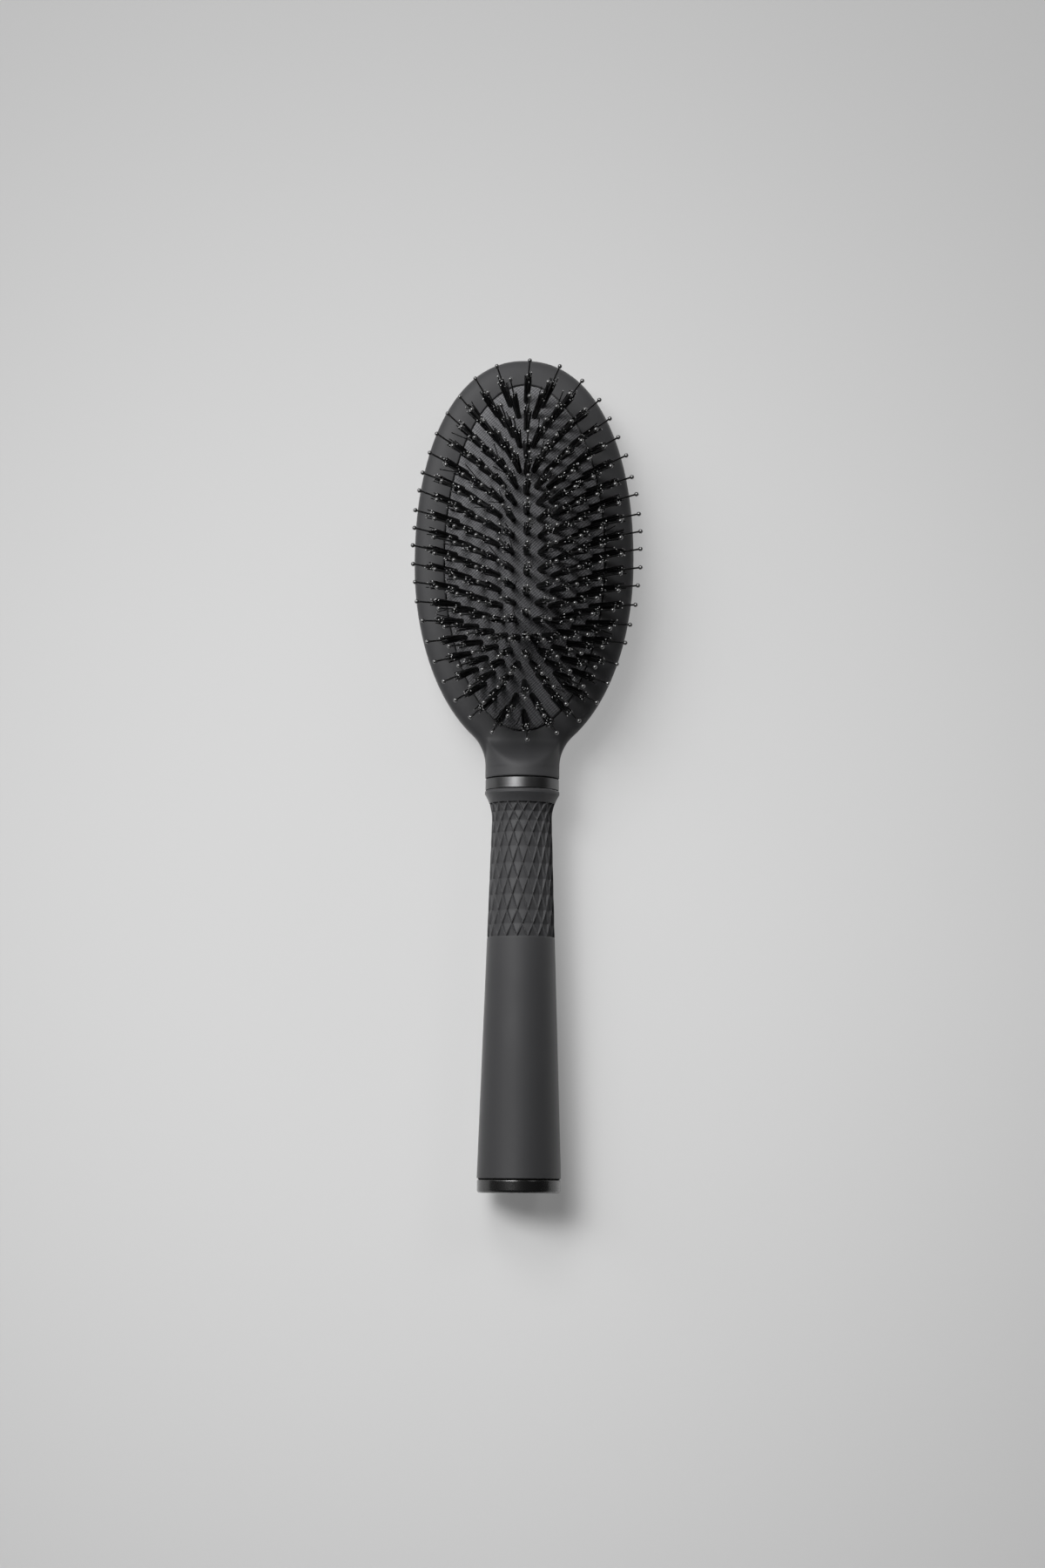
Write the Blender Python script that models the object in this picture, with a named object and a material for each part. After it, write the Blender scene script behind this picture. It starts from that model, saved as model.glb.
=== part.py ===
"""Oval cushion styling brush, lying on its back with its pins up.

Metres, +Z up. The brush lies along Y: the butt of the handle is at the -Y end, the tip of the head at the +Y end.
The origin is under the middle of the brush, on the surface that it lies on.
Places along the brush are measured from the butt end, and world_y turns them into Y.
"""

import math

import bmesh
import bpy
from mathutils import Vector

# Gaps between pieces
SEAT_GAP = 0.0003
CUT_OVERRUN = 0.002

# Lengths that make up the whole brush, from the butt end to the tip
CAP_LENGTH = 0.0043
GRIP_LENGTH = 0.11475
COLLAR_LENGTH = 0.0031
NECK_TO_OVAL = 0.00645
HEAD_LOWER_OVAL_LENGTH = 0.0581
HEAD_TIP_OVAL_LENGTH = 0.0617

# Handle, round about one straight axis
GRIP_BUTT_RADIUS = 0.01245
GRIP_NET_END_RADIUS = 0.01005
GRIP_WAIST_RADIUS = 0.0089
GRIP_LIP_OVER_NECK = 0.00008
GRIP_SMOOTH_LENGTH = 0.0711
GRIP_FLARE_RADIUS = 0.0138
GRIP_LIP_LENGTH = 0.0038
GRIP_LIP_LAND = 0.0011
NET_DIAMONDS_AROUND = 19
NET_DEPTH = 0.00045
NET_STEP_DEPTH = 0.0003
NET_ROW_SHARES = (0.092, 0.102, 0.117, 0.117, 0.117, 0.123, 0.107, 0.087, 0.071, 0.067)

# Core of the handle, inside the grip
SLEEVE_WALL_AT_WAIST = 0.00135
SLEEVE_WALL_AT_BUTT = 0.00265
CORE_WALL = 0.0028
CORE_WEB_THICKNESS = 0.004
CORE_CHAMFER = 0.0005
CORE_SPIGOT_SPARE = 0.002

# Collar, neck and tang
COLLAR_UNDER_NECK = 0.00009
COLLAR_EDGE = 0.00025
NECK_RADIUS = 0.01102
NECK_FILLET_RADIUS = 0.013
TANG_RADIUS = 0.0043
TANG_LENGTH = 0.024
TANG_CHAMFER = 0.0006

# Screw that draws the core on to the tang
SCREW_SHANK_RADIUS = 0.0015
SCREW_CLEARANCE = 0.0003
SCREW_HEAD_RADIUS = 0.003
SCREW_HEAD_HEIGHT = 0.0022
SCREW_REACH = 0.007
SCREW_BORE_SPARE = 0.002

# End cap
CAP_UNDER_GRIP = 0.0001
CAP_ROUNDING = 0.0013
CAP_EDGE = 0.0003
CAP_SPIGOT_LENGTH = 0.006

# Head
HEAD_WIDTH = 0.0656
HEAD_TIP_FULLNESS = 2.2
FACE_ABOVE_AXIS = 0.00455
RIM_ROUNDING = 0.0035
SCOOP_FROM_CUSHION = 0.002
SCOOP_FROM_NECK = 0.00275
BACK_TIP_RISE_LENGTH = 0.046
BACK_TIP_FULLNESS = 2.2
BACK_LAND_SHARE = 0.38
BACK_LAND_FROM_NECK = 0.03525

# Cushion, its pocket and the lip that holds it
RIM_WIDTH_AT_SIDE = 0.00875
RIM_WIDTH_AT_TIP = 0.008
CUSHION_FROM_NECK = 0.01375
CUSHION_RISE = 0.009
CUSHION_EDGE_ABOVE_FACE = 0.0005
CUSHION_TRAVEL = 0.0025
FACING_THICKNESS = 0.0007
PAD_THICKNESS = 0.0013
PAD_CLEARANCE = 0.00035
FLANGE_REACH = 0.0015
FLANGE_THICKNESS = 0.0012
LIP_THICKNESS = 0.0018
UNDERCUT_REACH = 0.002
CHAMBER_SPARE_DEPTH = 0.003

# Tufts: one ball-tipped pin in each, with stiff bristles beside it
TUFT_RING_COUNTS = (44, 40, 36, 32, 24)
TUFT_LINE_COUNT = 9
TUFT_LINE_SLACK = 0.0006
TUFT_LINE_LENGTH_SHARE = 0.53
OUTER_TUFT_FROM_SIDE = 0.0033
OUTER_TUFT_FROM_END = 0.0055
PIN_LENGTH = 0.0203
PIN_RADIUS = 0.00036
BALL_RADIUS = 0.00068
PIN_FAN_ACROSS = 0.65
PIN_FAN_ALONG = 0.43
PIN_FAN_ACROSS_POWER = 0.67
PIN_FAN_ALONG_POWER = 1.7
BRISTLE_LENGTH = 0.0122
BRISTLE_RADIUS = 0.00032
BRISTLE_OFFSET = 0.00095
BRISTLE_LEAN = math.radians(5)
STRAND_SIDES = 3
STRAND_SINK_SHARE = 0.5
RINGS_WITH_TWO_BRISTLES = 2

# How finely round shapes are divided
ROUND_COLUMNS = 40
OVAL_COLUMNS = 40
FLARE_STEPS = 6
ROUNDING_STEPS = 4
SECTION_CORNER_STEPS = 5
SECTION_BACK_STEPS = 7
HEAD_TIP_STATIONS = 13
HEAD_LOWER_STATIONS = 9
SCOOP_STATIONS = 8
DOME_STEPS = 4
SEARCH_STEPS = 400
SAME_POINT = 0.000001
SMOOTH_ANGLE = math.radians(35)

# Worked out from the sizes above
GRIP_LIP_RADIUS = NECK_RADIUS + GRIP_LIP_OVER_NECK
COLLAR_RADIUS = NECK_RADIUS - COLLAR_UNDER_NECK
CAP_RADIUS = GRIP_BUTT_RADIUS - CAP_UNDER_GRIP
HANDLE_AXIS_HEIGHT = max(GRIP_BUTT_RADIUS, GRIP_LIP_RADIUS, COLLAR_RADIUS, NECK_RADIUS)
GRIP_START = CAP_LENGTH + SEAT_GAP
GRIP_END = CAP_LENGTH + GRIP_LENGTH
NET_START = CAP_LENGTH + GRIP_SMOOTH_LENGTH
NET_LENGTH = GRIP_LENGTH - GRIP_SMOOTH_LENGTH - GRIP_LIP_LENGTH
COLLAR_START = GRIP_END + SEAT_GAP
COLLAR_END = COLLAR_START + COLLAR_LENGTH
NECK_START = COLLAR_END + SEAT_GAP
HEAD_WIDEST_FROM_BUTT = NECK_START + NECK_TO_OVAL + HEAD_LOWER_OVAL_LENGTH
OVERALL_LENGTH = HEAD_WIDEST_FROM_BUTT + HEAD_TIP_OVAL_LENGTH
CORE_TOP_RADIUS = GRIP_WAIST_RADIUS - NET_DEPTH - SLEEVE_WALL_AT_WAIST
CORE_BUTT_RADIUS = GRIP_BUTT_RADIUS - SLEEVE_WALL_AT_BUTT
SPIGOT_RADIUS = CORE_TOP_RADIUS
CORE_START = GRIP_START + CAP_ROUNDING
CORE_END = GRIP_END - CORE_CHAMFER
TANG_END = CORE_END - TANG_LENGTH
SOCKET_END = TANG_END - SEAT_GAP
WEB_START = SOCKET_END - CORE_WEB_THICKNESS
HEAD_HALF_WIDTH = HEAD_WIDTH / 2
BACK_LAND_END = NECK_START + BACK_LAND_FROM_NECK
CUSHION_NECK_END = NECK_START + CUSHION_FROM_NECK
CUSHION_TIP_END = OVERALL_LENGTH - RIM_WIDTH_AT_TIP
CUSHION_CENTRE_FROM_BUTT = (CUSHION_NECK_END + CUSHION_TIP_END) / 2
CUSHION_HALF_WIDTH = HEAD_HALF_WIDTH - RIM_WIDTH_AT_SIDE
CUSHION_HALF_LENGTH = (CUSHION_TIP_END - CUSHION_NECK_END) / 2
SCOOP_START = CUSHION_NECK_END - SCOOP_FROM_CUSHION
SCOOP_END = NECK_START + SCOOP_FROM_NECK
NECK_TOP = HANDLE_AXIS_HEIGHT + NECK_RADIUS
FACE_HEIGHT = HANDLE_AXIS_HEIGHT + FACE_ABOVE_AXIS
FLANGE_TOP = FACE_HEIGHT - LIP_THICKNESS - SEAT_GAP
CHAMBER_FLOOR = FLANGE_TOP - FLANGE_THICKNESS - CUSHION_TRAVEL - CHAMBER_SPARE_DEPTH
OUTER_RING_HALF_WIDTH = CUSHION_HALF_WIDTH - OUTER_TUFT_FROM_SIDE
OUTER_RING_HALF_LENGTH = CUSHION_HALF_LENGTH - OUTER_TUFT_FROM_END
TUFT_PITCH_ACROSS = OUTER_RING_HALF_WIDTH / len(TUFT_RING_COUNTS)
TUFT_PITCH_ALONG = OUTER_RING_HALF_LENGTH * (1 - TUFT_LINE_LENGTH_SHARE) / len(TUFT_RING_COUNTS)


def world_y(from_butt):
    """Y of a place measured along the brush from its butt end."""
    return from_butt - OVERALL_LENGTH / 2


CUSHION_CENTRE_Y = world_y(CUSHION_CENTRE_FROM_BUTT)


def clear_objects():
    """Remove every object that the file starts with."""
    for old in list(bpy.data.objects):
        bpy.data.objects.remove(old, do_unlink=True)


def make_material(name, colour, roughness, metallic=0.0):
    """A Principled BSDF material with one colour."""
    material = bpy.data.materials.new(name)
    material.use_nodes = True
    shader = material.node_tree.nodes["Principled BSDF"]
    shader.inputs["Base Color"].default_value = (*colour, 1.0)
    shader.inputs["Roughness"].default_value = roughness
    shader.inputs["Metallic"].default_value = metallic
    return material


def object_from_bmesh(name, shape, material):
    """Tidy a closed bmesh, turn its faces outward and link it as a named object."""
    bmesh.ops.remove_doubles(shape, verts=shape.verts, dist=SAME_POINT)
    bmesh.ops.recalc_face_normals(shape, faces=shape.faces)
    mesh = bpy.data.meshes.new(name)
    shape.to_mesh(mesh)
    shape.free()
    mesh.shade_smooth()
    mesh.set_sharp_from_angle(angle=SMOOTH_ANGLE)
    if material is not None:
        mesh.materials.append(material)
    made = bpy.data.objects.new(name, mesh)
    bpy.context.scene.collection.objects.link(made)
    return made


def make_cutter(made):
    """Hide a solid that only cuts or adds to another one."""
    made.hide_render = True
    made.display_type = "WIRE"
    return made


def add_boolean(made, operand, operation):
    """Cut or join one solid with another, and keep it as a modifier."""
    modifier = made.modifiers.new(operation.title() + " " + operand.name, "BOOLEAN")
    modifier.operation = operation
    modifier.solver = "EXACT"
    modifier.object = operand


def bridge_rings(shape, rings, loop=False):
    """Join rings of the same number of points with faces, and the last to the first in a loop."""
    following = rings[1:] + (rings[:1] if loop else [])
    for near, far in zip(rings, following):
        count = len(near)
        for index in range(count):
            after = (index + 1) % count
            shape.faces.new((near[index], near[after], far[after], far[index]))


def add_rings(shape, point_rings):
    """Make the points of several rings."""
    return [[shape.verts.new(point) for point in ring] for ring in point_rings]


def fan_to_point(shape, ring, point):
    """Close a ring with a fan of faces that meet in one point."""
    tip = shape.verts.new(point)
    for index, corner in enumerate(ring):
        shape.faces.new((corner, ring[(index + 1) % len(ring)], tip))


def solid_from_rings(name, point_rings, material, loop=False):
    """A closed solid through rings of points, capped flat at its ends unless the rings form a loop."""
    shape = bmesh.new()
    rings = add_rings(shape, point_rings)
    bridge_rings(shape, rings, loop)
    if not loop:
        shape.faces.new(rings[0])
        shape.faces.new(rings[-1])
    return object_from_bmesh(name, shape, material)


def turned_ring(from_butt, radius, columns=ROUND_COLUMNS):
    """A ring about the handle's axis whose first point is its lowest."""
    ring = []
    for column in range(columns):
        turn = math.tau * column / columns
        side = radius * math.sin(turn)
        height = HANDLE_AXIS_HEIGHT - radius * math.cos(turn)
        ring.append((side, world_y(from_butt), height))
    return ring


def turned_solid(name, profile, material, loop=False):
    """A piece turned about the handle's axis from places and radii along it."""
    rings = [turned_ring(from_butt, radius) for from_butt, radius in profile]
    return solid_from_rings(name, rings, material, loop)


def oval_ring(half_width, half_length, height, columns=OVAL_COLUMNS):
    """A level oval ring about the middle of the cushion."""
    ring = []
    for column in range(columns):
        turn = math.tau * column / columns
        across = half_width * math.cos(turn)
        along = CUSHION_CENTRE_Y + half_length * math.sin(turn)
        ring.append((across, along, height))
    return ring


def rounded_edge(from_butt, radius, rounding, toward_butt):
    """Places and radii round the outer edge of a flat end."""
    points = []
    for step in range(ROUNDING_STEPS + 1):
        turn = math.pi / 2 * step / ROUNDING_STEPS
        inset = rounding * (1 - math.sin(turn))
        place = rounding * (1 - math.cos(turn))
        points.append((from_butt + toward_butt * place, radius - inset))
    return points


# Cushion surface

def dome_height(across, along):
    """Height of the cushion's cloth face over a place given from the cushion's middle."""
    reach = (across / CUSHION_HALF_WIDTH) ** 2 + (along / CUSHION_HALF_LENGTH) ** 2
    return FACE_HEIGHT + CUSHION_EDGE_ABOVE_FACE + CUSHION_RISE * (1 - reach)


def pin_direction(across, along):
    """The way a pin points: the pins fan outward from the middle of the cushion."""
    across_share = abs(across) / OUTER_RING_HALF_WIDTH
    along_share = abs(along) / OUTER_RING_HALF_LENGTH
    lean_across = math.copysign(PIN_FAN_ACROSS * across_share ** PIN_FAN_ACROSS_POWER, across)
    lean_along = math.copysign(PIN_FAN_ALONG * along_share ** PIN_FAN_ALONG_POWER, along)
    upright = math.sqrt(1 - lean_across ** 2 - lean_along ** 2)
    return Vector((lean_across, lean_along, upright))


# Head outline

def lower_oval_half_width(from_butt):
    """Half-width of the head's oval on the neck side of its widest place."""
    share = (HEAD_WIDEST_FROM_BUTT - from_butt) / HEAD_LOWER_OVAL_LENGTH
    return HEAD_HALF_WIDTH * math.sqrt(max(0.0, 1 - share ** 2))


def nearest_on_lower_oval(centre_from_butt):
    """Distance from a fillet centre beside the neck to the head's oval, and where that is."""
    centre_across = NECK_RADIUS + NECK_FILLET_RADIUS
    best = None
    for step in range(SEARCH_STEPS + 1):
        turn = math.pi / 2 * step / SEARCH_STEPS
        across = HEAD_HALF_WIDTH * math.cos(turn)
        from_butt = HEAD_WIDEST_FROM_BUTT - HEAD_LOWER_OVAL_LENGTH * math.sin(turn)
        gap = math.hypot(across - centre_across, from_butt - centre_from_butt)
        if best is None or gap < best[0]:
            best = (gap, from_butt)
    return best


def find_neck_fillet():
    """Centre of the fillet between neck and head, and where it touches the head's oval."""
    low = HEAD_WIDEST_FROM_BUTT - HEAD_LOWER_OVAL_LENGTH - 2 * NECK_FILLET_RADIUS
    high = HEAD_WIDEST_FROM_BUTT
    while high - low > SAME_POINT:
        middle = (low + high) / 2
        if nearest_on_lower_oval(middle)[0] > NECK_FILLET_RADIUS:
            low = middle
        else:
            high = middle
    return low, nearest_on_lower_oval(low)[1]


FILLET_CENTRE, FILLET_TOUCH = find_neck_fillet()


def head_half_width(from_butt):
    """Half-width of the head and neck at a place along the brush."""
    if from_butt >= HEAD_WIDEST_FROM_BUTT:
        share = (from_butt - HEAD_WIDEST_FROM_BUTT) / (OVERALL_LENGTH - HEAD_WIDEST_FROM_BUTT)
        inside = max(0.0, 1 - share ** HEAD_TIP_FULLNESS)
        return HEAD_HALF_WIDTH * inside ** (1 / HEAD_TIP_FULLNESS)
    if from_butt >= FILLET_TOUCH:
        return lower_oval_half_width(from_butt)
    if from_butt >= FILLET_CENTRE:
        rise = from_butt - FILLET_CENTRE
        return NECK_RADIUS + NECK_FILLET_RADIUS - math.sqrt(NECK_FILLET_RADIUS ** 2 - rise ** 2)
    return NECK_RADIUS


def smooth_share(first, last, place):
    """0 at the first place and beyond it, rising smoothly to 1 at the last."""
    share = min(1.0, max(0.0, (place - first) / (last - first)))
    return share * share * (3 - 2 * share)


def head_top(from_butt):
    """Height of the head's face, of the scoop below it and of the top of the neck."""
    from_tip = OVERALL_LENGTH - from_butt
    if from_tip < RIM_ROUNDING:
        share = 1 - from_tip / RIM_ROUNDING
        edge_height = FACE_HEIGHT - HANDLE_AXIS_HEIGHT
        return HANDLE_AXIS_HEIGHT + edge_height * math.sqrt(max(0.0, 1 - share ** 2))
    return FACE_HEIGHT + (NECK_TOP - FACE_HEIGHT) * smooth_share(SCOOP_START, SCOOP_END, from_butt)


def head_back(from_butt):
    """Height of the middle of the head's back, which is flat over its land."""
    from_tip = OVERALL_LENGTH - from_butt
    if from_tip < BACK_TIP_RISE_LENGTH:
        share = 1 - from_tip / BACK_TIP_RISE_LENGTH
        depth = max(0.0, 1 - share ** BACK_TIP_FULLNESS) ** (1 / BACK_TIP_FULLNESS)
        return HANDLE_AXIS_HEIGHT * (1 - depth)
    return (HANDLE_AXIS_HEIGHT - NECK_RADIUS) * smooth_share(BACK_LAND_END, FILLET_CENTRE, from_butt)


def head_section(from_butt):
    """Ring of points across the head or neck, from the middle of its top."""
    half_width = head_half_width(from_butt)
    top = head_top(from_butt)
    back = head_back(from_butt)
    land = BACK_LAND_SHARE * half_width * (1 - smooth_share(BACK_LAND_END, FILLET_CENTRE, from_butt))
    rounding = min(RIM_ROUNDING, half_width)
    above = top - HANDLE_AXIS_HEIGHT
    round_flat = math.sqrt(max(0.0, half_width ** 2 - above ** 2))
    flat = min(half_width - rounding, round_flat)
    if from_butt <= FILLET_CENTRE:
        flat = round_flat
    side = [(0.0, top)]
    for step in range(SECTION_CORNER_STEPS + 1):
        turn = math.pi / 2 * step / SECTION_CORNER_STEPS
        across = flat + (half_width - flat) * math.sin(turn)
        side.append((across, HANDLE_AXIS_HEIGHT + above * math.cos(turn)))
    for step in range(1, SECTION_BACK_STEPS + 1):
        turn = math.pi / 2 * step / SECTION_BACK_STEPS
        across = land + (half_width - land) * math.cos(turn)
        side.append((across, HANDLE_AXIS_HEIGHT - (HANDLE_AXIS_HEIGHT - back) * math.sin(turn)))
    side.append((0.0, back))
    mirrored = [(-across, height) for across, height in reversed(side[1:-1])]
    return [(across, world_y(from_butt), height) for across, height in side + mirrored]


def round_section(from_butt, radius):
    """Ring of points about the handle's axis that matches head_section point for point."""
    side = [(0.0, radius)]
    for step in range(SECTION_CORNER_STEPS + 1):
        turn = math.pi / 2 * step / SECTION_CORNER_STEPS
        side.append((radius * math.sin(turn), radius * math.cos(turn)))
    for step in range(1, SECTION_BACK_STEPS + 1):
        turn = math.pi / 2 * step / SECTION_BACK_STEPS
        side.append((radius * math.cos(turn), -radius * math.sin(turn)))
    side.append((0.0, -radius))
    mirrored = [(-across, height) for across, height in reversed(side[1:-1])]
    return [(across, world_y(from_butt), HANDLE_AXIS_HEIGHT + height) for across, height in side + mirrored]


def spread(first, last, count):
    """Evenly spread places after the first, up to and with the last."""
    return [first + (last - first) * step / count for step in range(1, count + 1)]


def head_stations():
    """Places along the head where its section is drawn, from the scoop's top to just short of the tip."""
    stations = [SCOOP_END] + spread(SCOOP_END, SCOOP_START, SCOOP_STATIONS)
    stations += spread(SCOOP_START, HEAD_WIDEST_FROM_BUTT, HEAD_LOWER_STATIONS)
    tip_length = OVERALL_LENGTH - HEAD_WIDEST_FROM_BUTT
    for step in range(1, HEAD_TIP_STATIONS):
        turn = math.pi / 2 * step / HEAD_TIP_STATIONS
        stations.append(HEAD_WIDEST_FROM_BUTT + tip_length * math.sin(turn))
    stations.append(OVERALL_LENGTH - RIM_ROUNDING * (1 - math.cos(math.pi / 4)))
    return stations


def build_head(material):
    """Head, neck, spigot and tang in one piece, with the cushion's undercut pocket."""
    shape = bmesh.new()
    screw_bore = SCREW_SHANK_RADIUS + SCREW_CLEARANCE
    bore_end = TANG_END + SCREW_REACH + SCREW_BORE_SPARE
    spigot_end = CORE_END + SEAT_GAP
    point_rings = [
        round_section(bore_end, screw_bore),
        round_section(TANG_END, screw_bore),
        round_section(TANG_END, TANG_RADIUS - TANG_CHAMFER),
        round_section(TANG_END + TANG_CHAMFER, TANG_RADIUS),
        round_section(spigot_end, TANG_RADIUS),
        round_section(spigot_end, SPIGOT_RADIUS),
        round_section(NECK_START, SPIGOT_RADIUS),
        round_section(NECK_START, NECK_RADIUS - COLLAR_EDGE),
        round_section(NECK_START + COLLAR_EDGE, NECK_RADIUS),
    ]
    point_rings += [head_section(station) for station in head_stations()]
    rings = add_rings(shape, point_rings)
    bridge_rings(shape, rings)
    shape.faces.new(rings[0])
    fan_to_point(shape, rings[-1], (0.0, world_y(OVERALL_LENGTH), HANDLE_AXIS_HEIGHT))
    head = object_from_bmesh("head_body", shape, material)

    undercut_width = CUSHION_HALF_WIDTH + UNDERCUT_REACH
    undercut_length = CUSHION_HALF_LENGTH + UNDERCUT_REACH
    lip_under = FACE_HEIGHT - LIP_THICKNESS
    pocket_rings = [
        oval_ring(CUSHION_HALF_WIDTH, CUSHION_HALF_LENGTH, FACE_HEIGHT + CUT_OVERRUN),
        oval_ring(CUSHION_HALF_WIDTH, CUSHION_HALF_LENGTH, lip_under),
        oval_ring(undercut_width, undercut_length, lip_under),
        oval_ring(undercut_width, undercut_length, CHAMBER_FLOOR),
    ]
    pocket = make_cutter(solid_from_rings("pocket_cutter", pocket_rings, None))
    add_boolean(head, pocket, "DIFFERENCE")
    return head


# Cushion and tufts

def build_pad(material):
    """Domed rubber pad, open underneath, with the flange that the head's lip holds."""
    wall = CUSHION_HALF_WIDTH - PAD_CLEARANCE
    wall_length = CUSHION_HALF_LENGTH - PAD_CLEARANCE
    under_cloth = FACING_THICKNESS + SEAT_GAP
    flange_width = CUSHION_HALF_WIDTH + FLANGE_REACH
    flange_length = CUSHION_HALF_LENGTH + FLANGE_REACH
    inner = wall - PAD_THICKNESS
    inner_length = wall_length - PAD_THICKNESS
    flange_under = FLANGE_TOP - FLANGE_THICKNESS

    def dome_rings(half_width, half_length, drop):
        rings = []
        for step in range(1, DOME_STEPS + 1):
            share = step / DOME_STEPS
            height = dome_height(share * half_width, 0.0) - drop
            rings.append(oval_ring(share * half_width, share * half_length, height))
        return rings

    shape = bmesh.new()
    outer_rings = dome_rings(wall, wall_length, under_cloth)
    inner_rings = dome_rings(inner, inner_length, under_cloth + PAD_THICKNESS)
    point_rings = outer_rings + [
        oval_ring(wall, wall_length, FLANGE_TOP),
        oval_ring(flange_width, flange_length, FLANGE_TOP),
        oval_ring(flange_width, flange_length, flange_under),
        oval_ring(inner, inner_length, flange_under),
    ] + inner_rings[::-1]
    rings = add_rings(shape, point_rings)
    bridge_rings(shape, rings)
    crown = dome_height(0.0, 0.0) - under_cloth
    fan_to_point(shape, rings[0], (0.0, CUSHION_CENTRE_Y, crown))
    fan_to_point(shape, rings[-1], (0.0, CUSHION_CENTRE_Y, crown - PAD_THICKNESS))
    return object_from_bmesh("cushion_pad", shape, material)


def oval_turns(half_width, half_length, count, phase):
    """Turns round an oval, evenly spaced by the length of its edge."""
    lengths = [0.0]
    before = Vector((half_width, 0.0))
    for step in range(1, SEARCH_STEPS + 1):
        turn = math.tau * step / SEARCH_STEPS
        here = Vector((half_width * math.cos(turn), half_length * math.sin(turn)))
        lengths.append(lengths[-1] + (here - before).length)
        before = here
    turns = []
    step = 0
    for index in range(count):
        wanted = lengths[-1] * (index + phase) / count
        while lengths[step + 1] < wanted:
            step += 1
        part = (wanted - lengths[step]) / (lengths[step + 1] - lengths[step])
        turns.append(math.tau * (step + part) / SEARCH_STEPS)
    return turns


def on_dome(across, along, drop=0.0):
    """A point of the cushion's face, or a little below it."""
    return Vector((across, CUSHION_CENTRE_Y + along, dome_height(across, along) - drop))


def add_strand(shape, foot, direction, rings, tip_length):
    """One strand: a few sides, rings of a place and a radius along it, and a pointed tip."""
    beside = direction.cross(Vector((0.0, 1.0, 0.0))).normalized()
    other = direction.cross(beside)
    made = []
    for place, radius in rings:
        ring = []
        for side in range(STRAND_SIDES):
            turn = math.tau * side / STRAND_SIDES
            offset = beside * (radius * math.cos(turn)) + other * (radius * math.sin(turn))
            ring.append(shape.verts.new(foot + direction * place + offset))
        made.append(ring)
    bridge_rings(shape, made)
    shape.faces.new(made[0])
    fan_to_point(shape, made[-1], foot + direction * tip_length)


def add_tuft(shape, across, along, beside, bristle_sides):
    """A ball-tipped pin and its bristles, rooted in the facing."""
    foot = on_dome(across, along)
    direction = pin_direction(across, along)
    sink = STRAND_SINK_SHARE * FACING_THICKNESS
    pin_rings = [
        (-sink, PIN_RADIUS),
        (PIN_LENGTH - 2 * BALL_RADIUS, PIN_RADIUS),
        (PIN_LENGTH - BALL_RADIUS, BALL_RADIUS),
    ]
    add_strand(shape, foot, direction, pin_rings, PIN_LENGTH)
    for side in bristle_sides:
        step = beside * (side * BRISTLE_OFFSET)
        root = on_dome(across + step.x, along + step.y)
        lean = beside.to_3d() * (side * math.tan(BRISTLE_LEAN))
        way = (direction + lean).normalized()
        add_strand(shape, root, way, [(-sink, BRISTLE_RADIUS)], BRISTLE_LENGTH)


def build_facing(name, edge_pairs, tufts, material):
    """A slice of the cushion's facing between pairs of edge points, joined with its tufts."""
    shape = bmesh.new()
    point_rings = []
    for near, far in edge_pairs:
        point_rings.append([
            on_dome(near.x, near.y),
            on_dome(far.x, far.y),
            on_dome(far.x, far.y, FACING_THICKNESS),
            on_dome(near.x, near.y, FACING_THICKNESS),
        ])
    rings = add_rings(shape, point_rings)
    bridge_rings(shape, rings)
    shape.faces.new(rings[0])
    shape.faces.new(rings[-1])
    facing = object_from_bmesh(name, shape, material)

    strands = bmesh.new()
    for across, along, beside, bristle_sides in tufts:
        add_tuft(strands, across, along, beside, bristle_sides)
    strand_object = make_cutter(object_from_bmesh(name + "_strands", strands, material))
    add_boolean(facing, strand_object, "UNION")
    return facing


def oval_point(half_width, half_length, turn):
    """A place on an oval about the cushion's middle."""
    return Vector((half_width * math.cos(turn), half_length * math.sin(turn)))


def oval_tangent(half_width, half_length, turn):
    """The way along an oval at a place on it."""
    return Vector((-half_width * math.sin(turn), half_length * math.cos(turn))).normalized()


def turn_between(turns, index):
    """The turn halfway between the tuft with this number on a ring and the one before it."""
    before = turns[index - 1] - (math.tau if index == 0 else 0.0)
    after = turns[index % len(turns)] + (math.tau if index == len(turns) else 0.0)
    return (before + after) / 2


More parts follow.
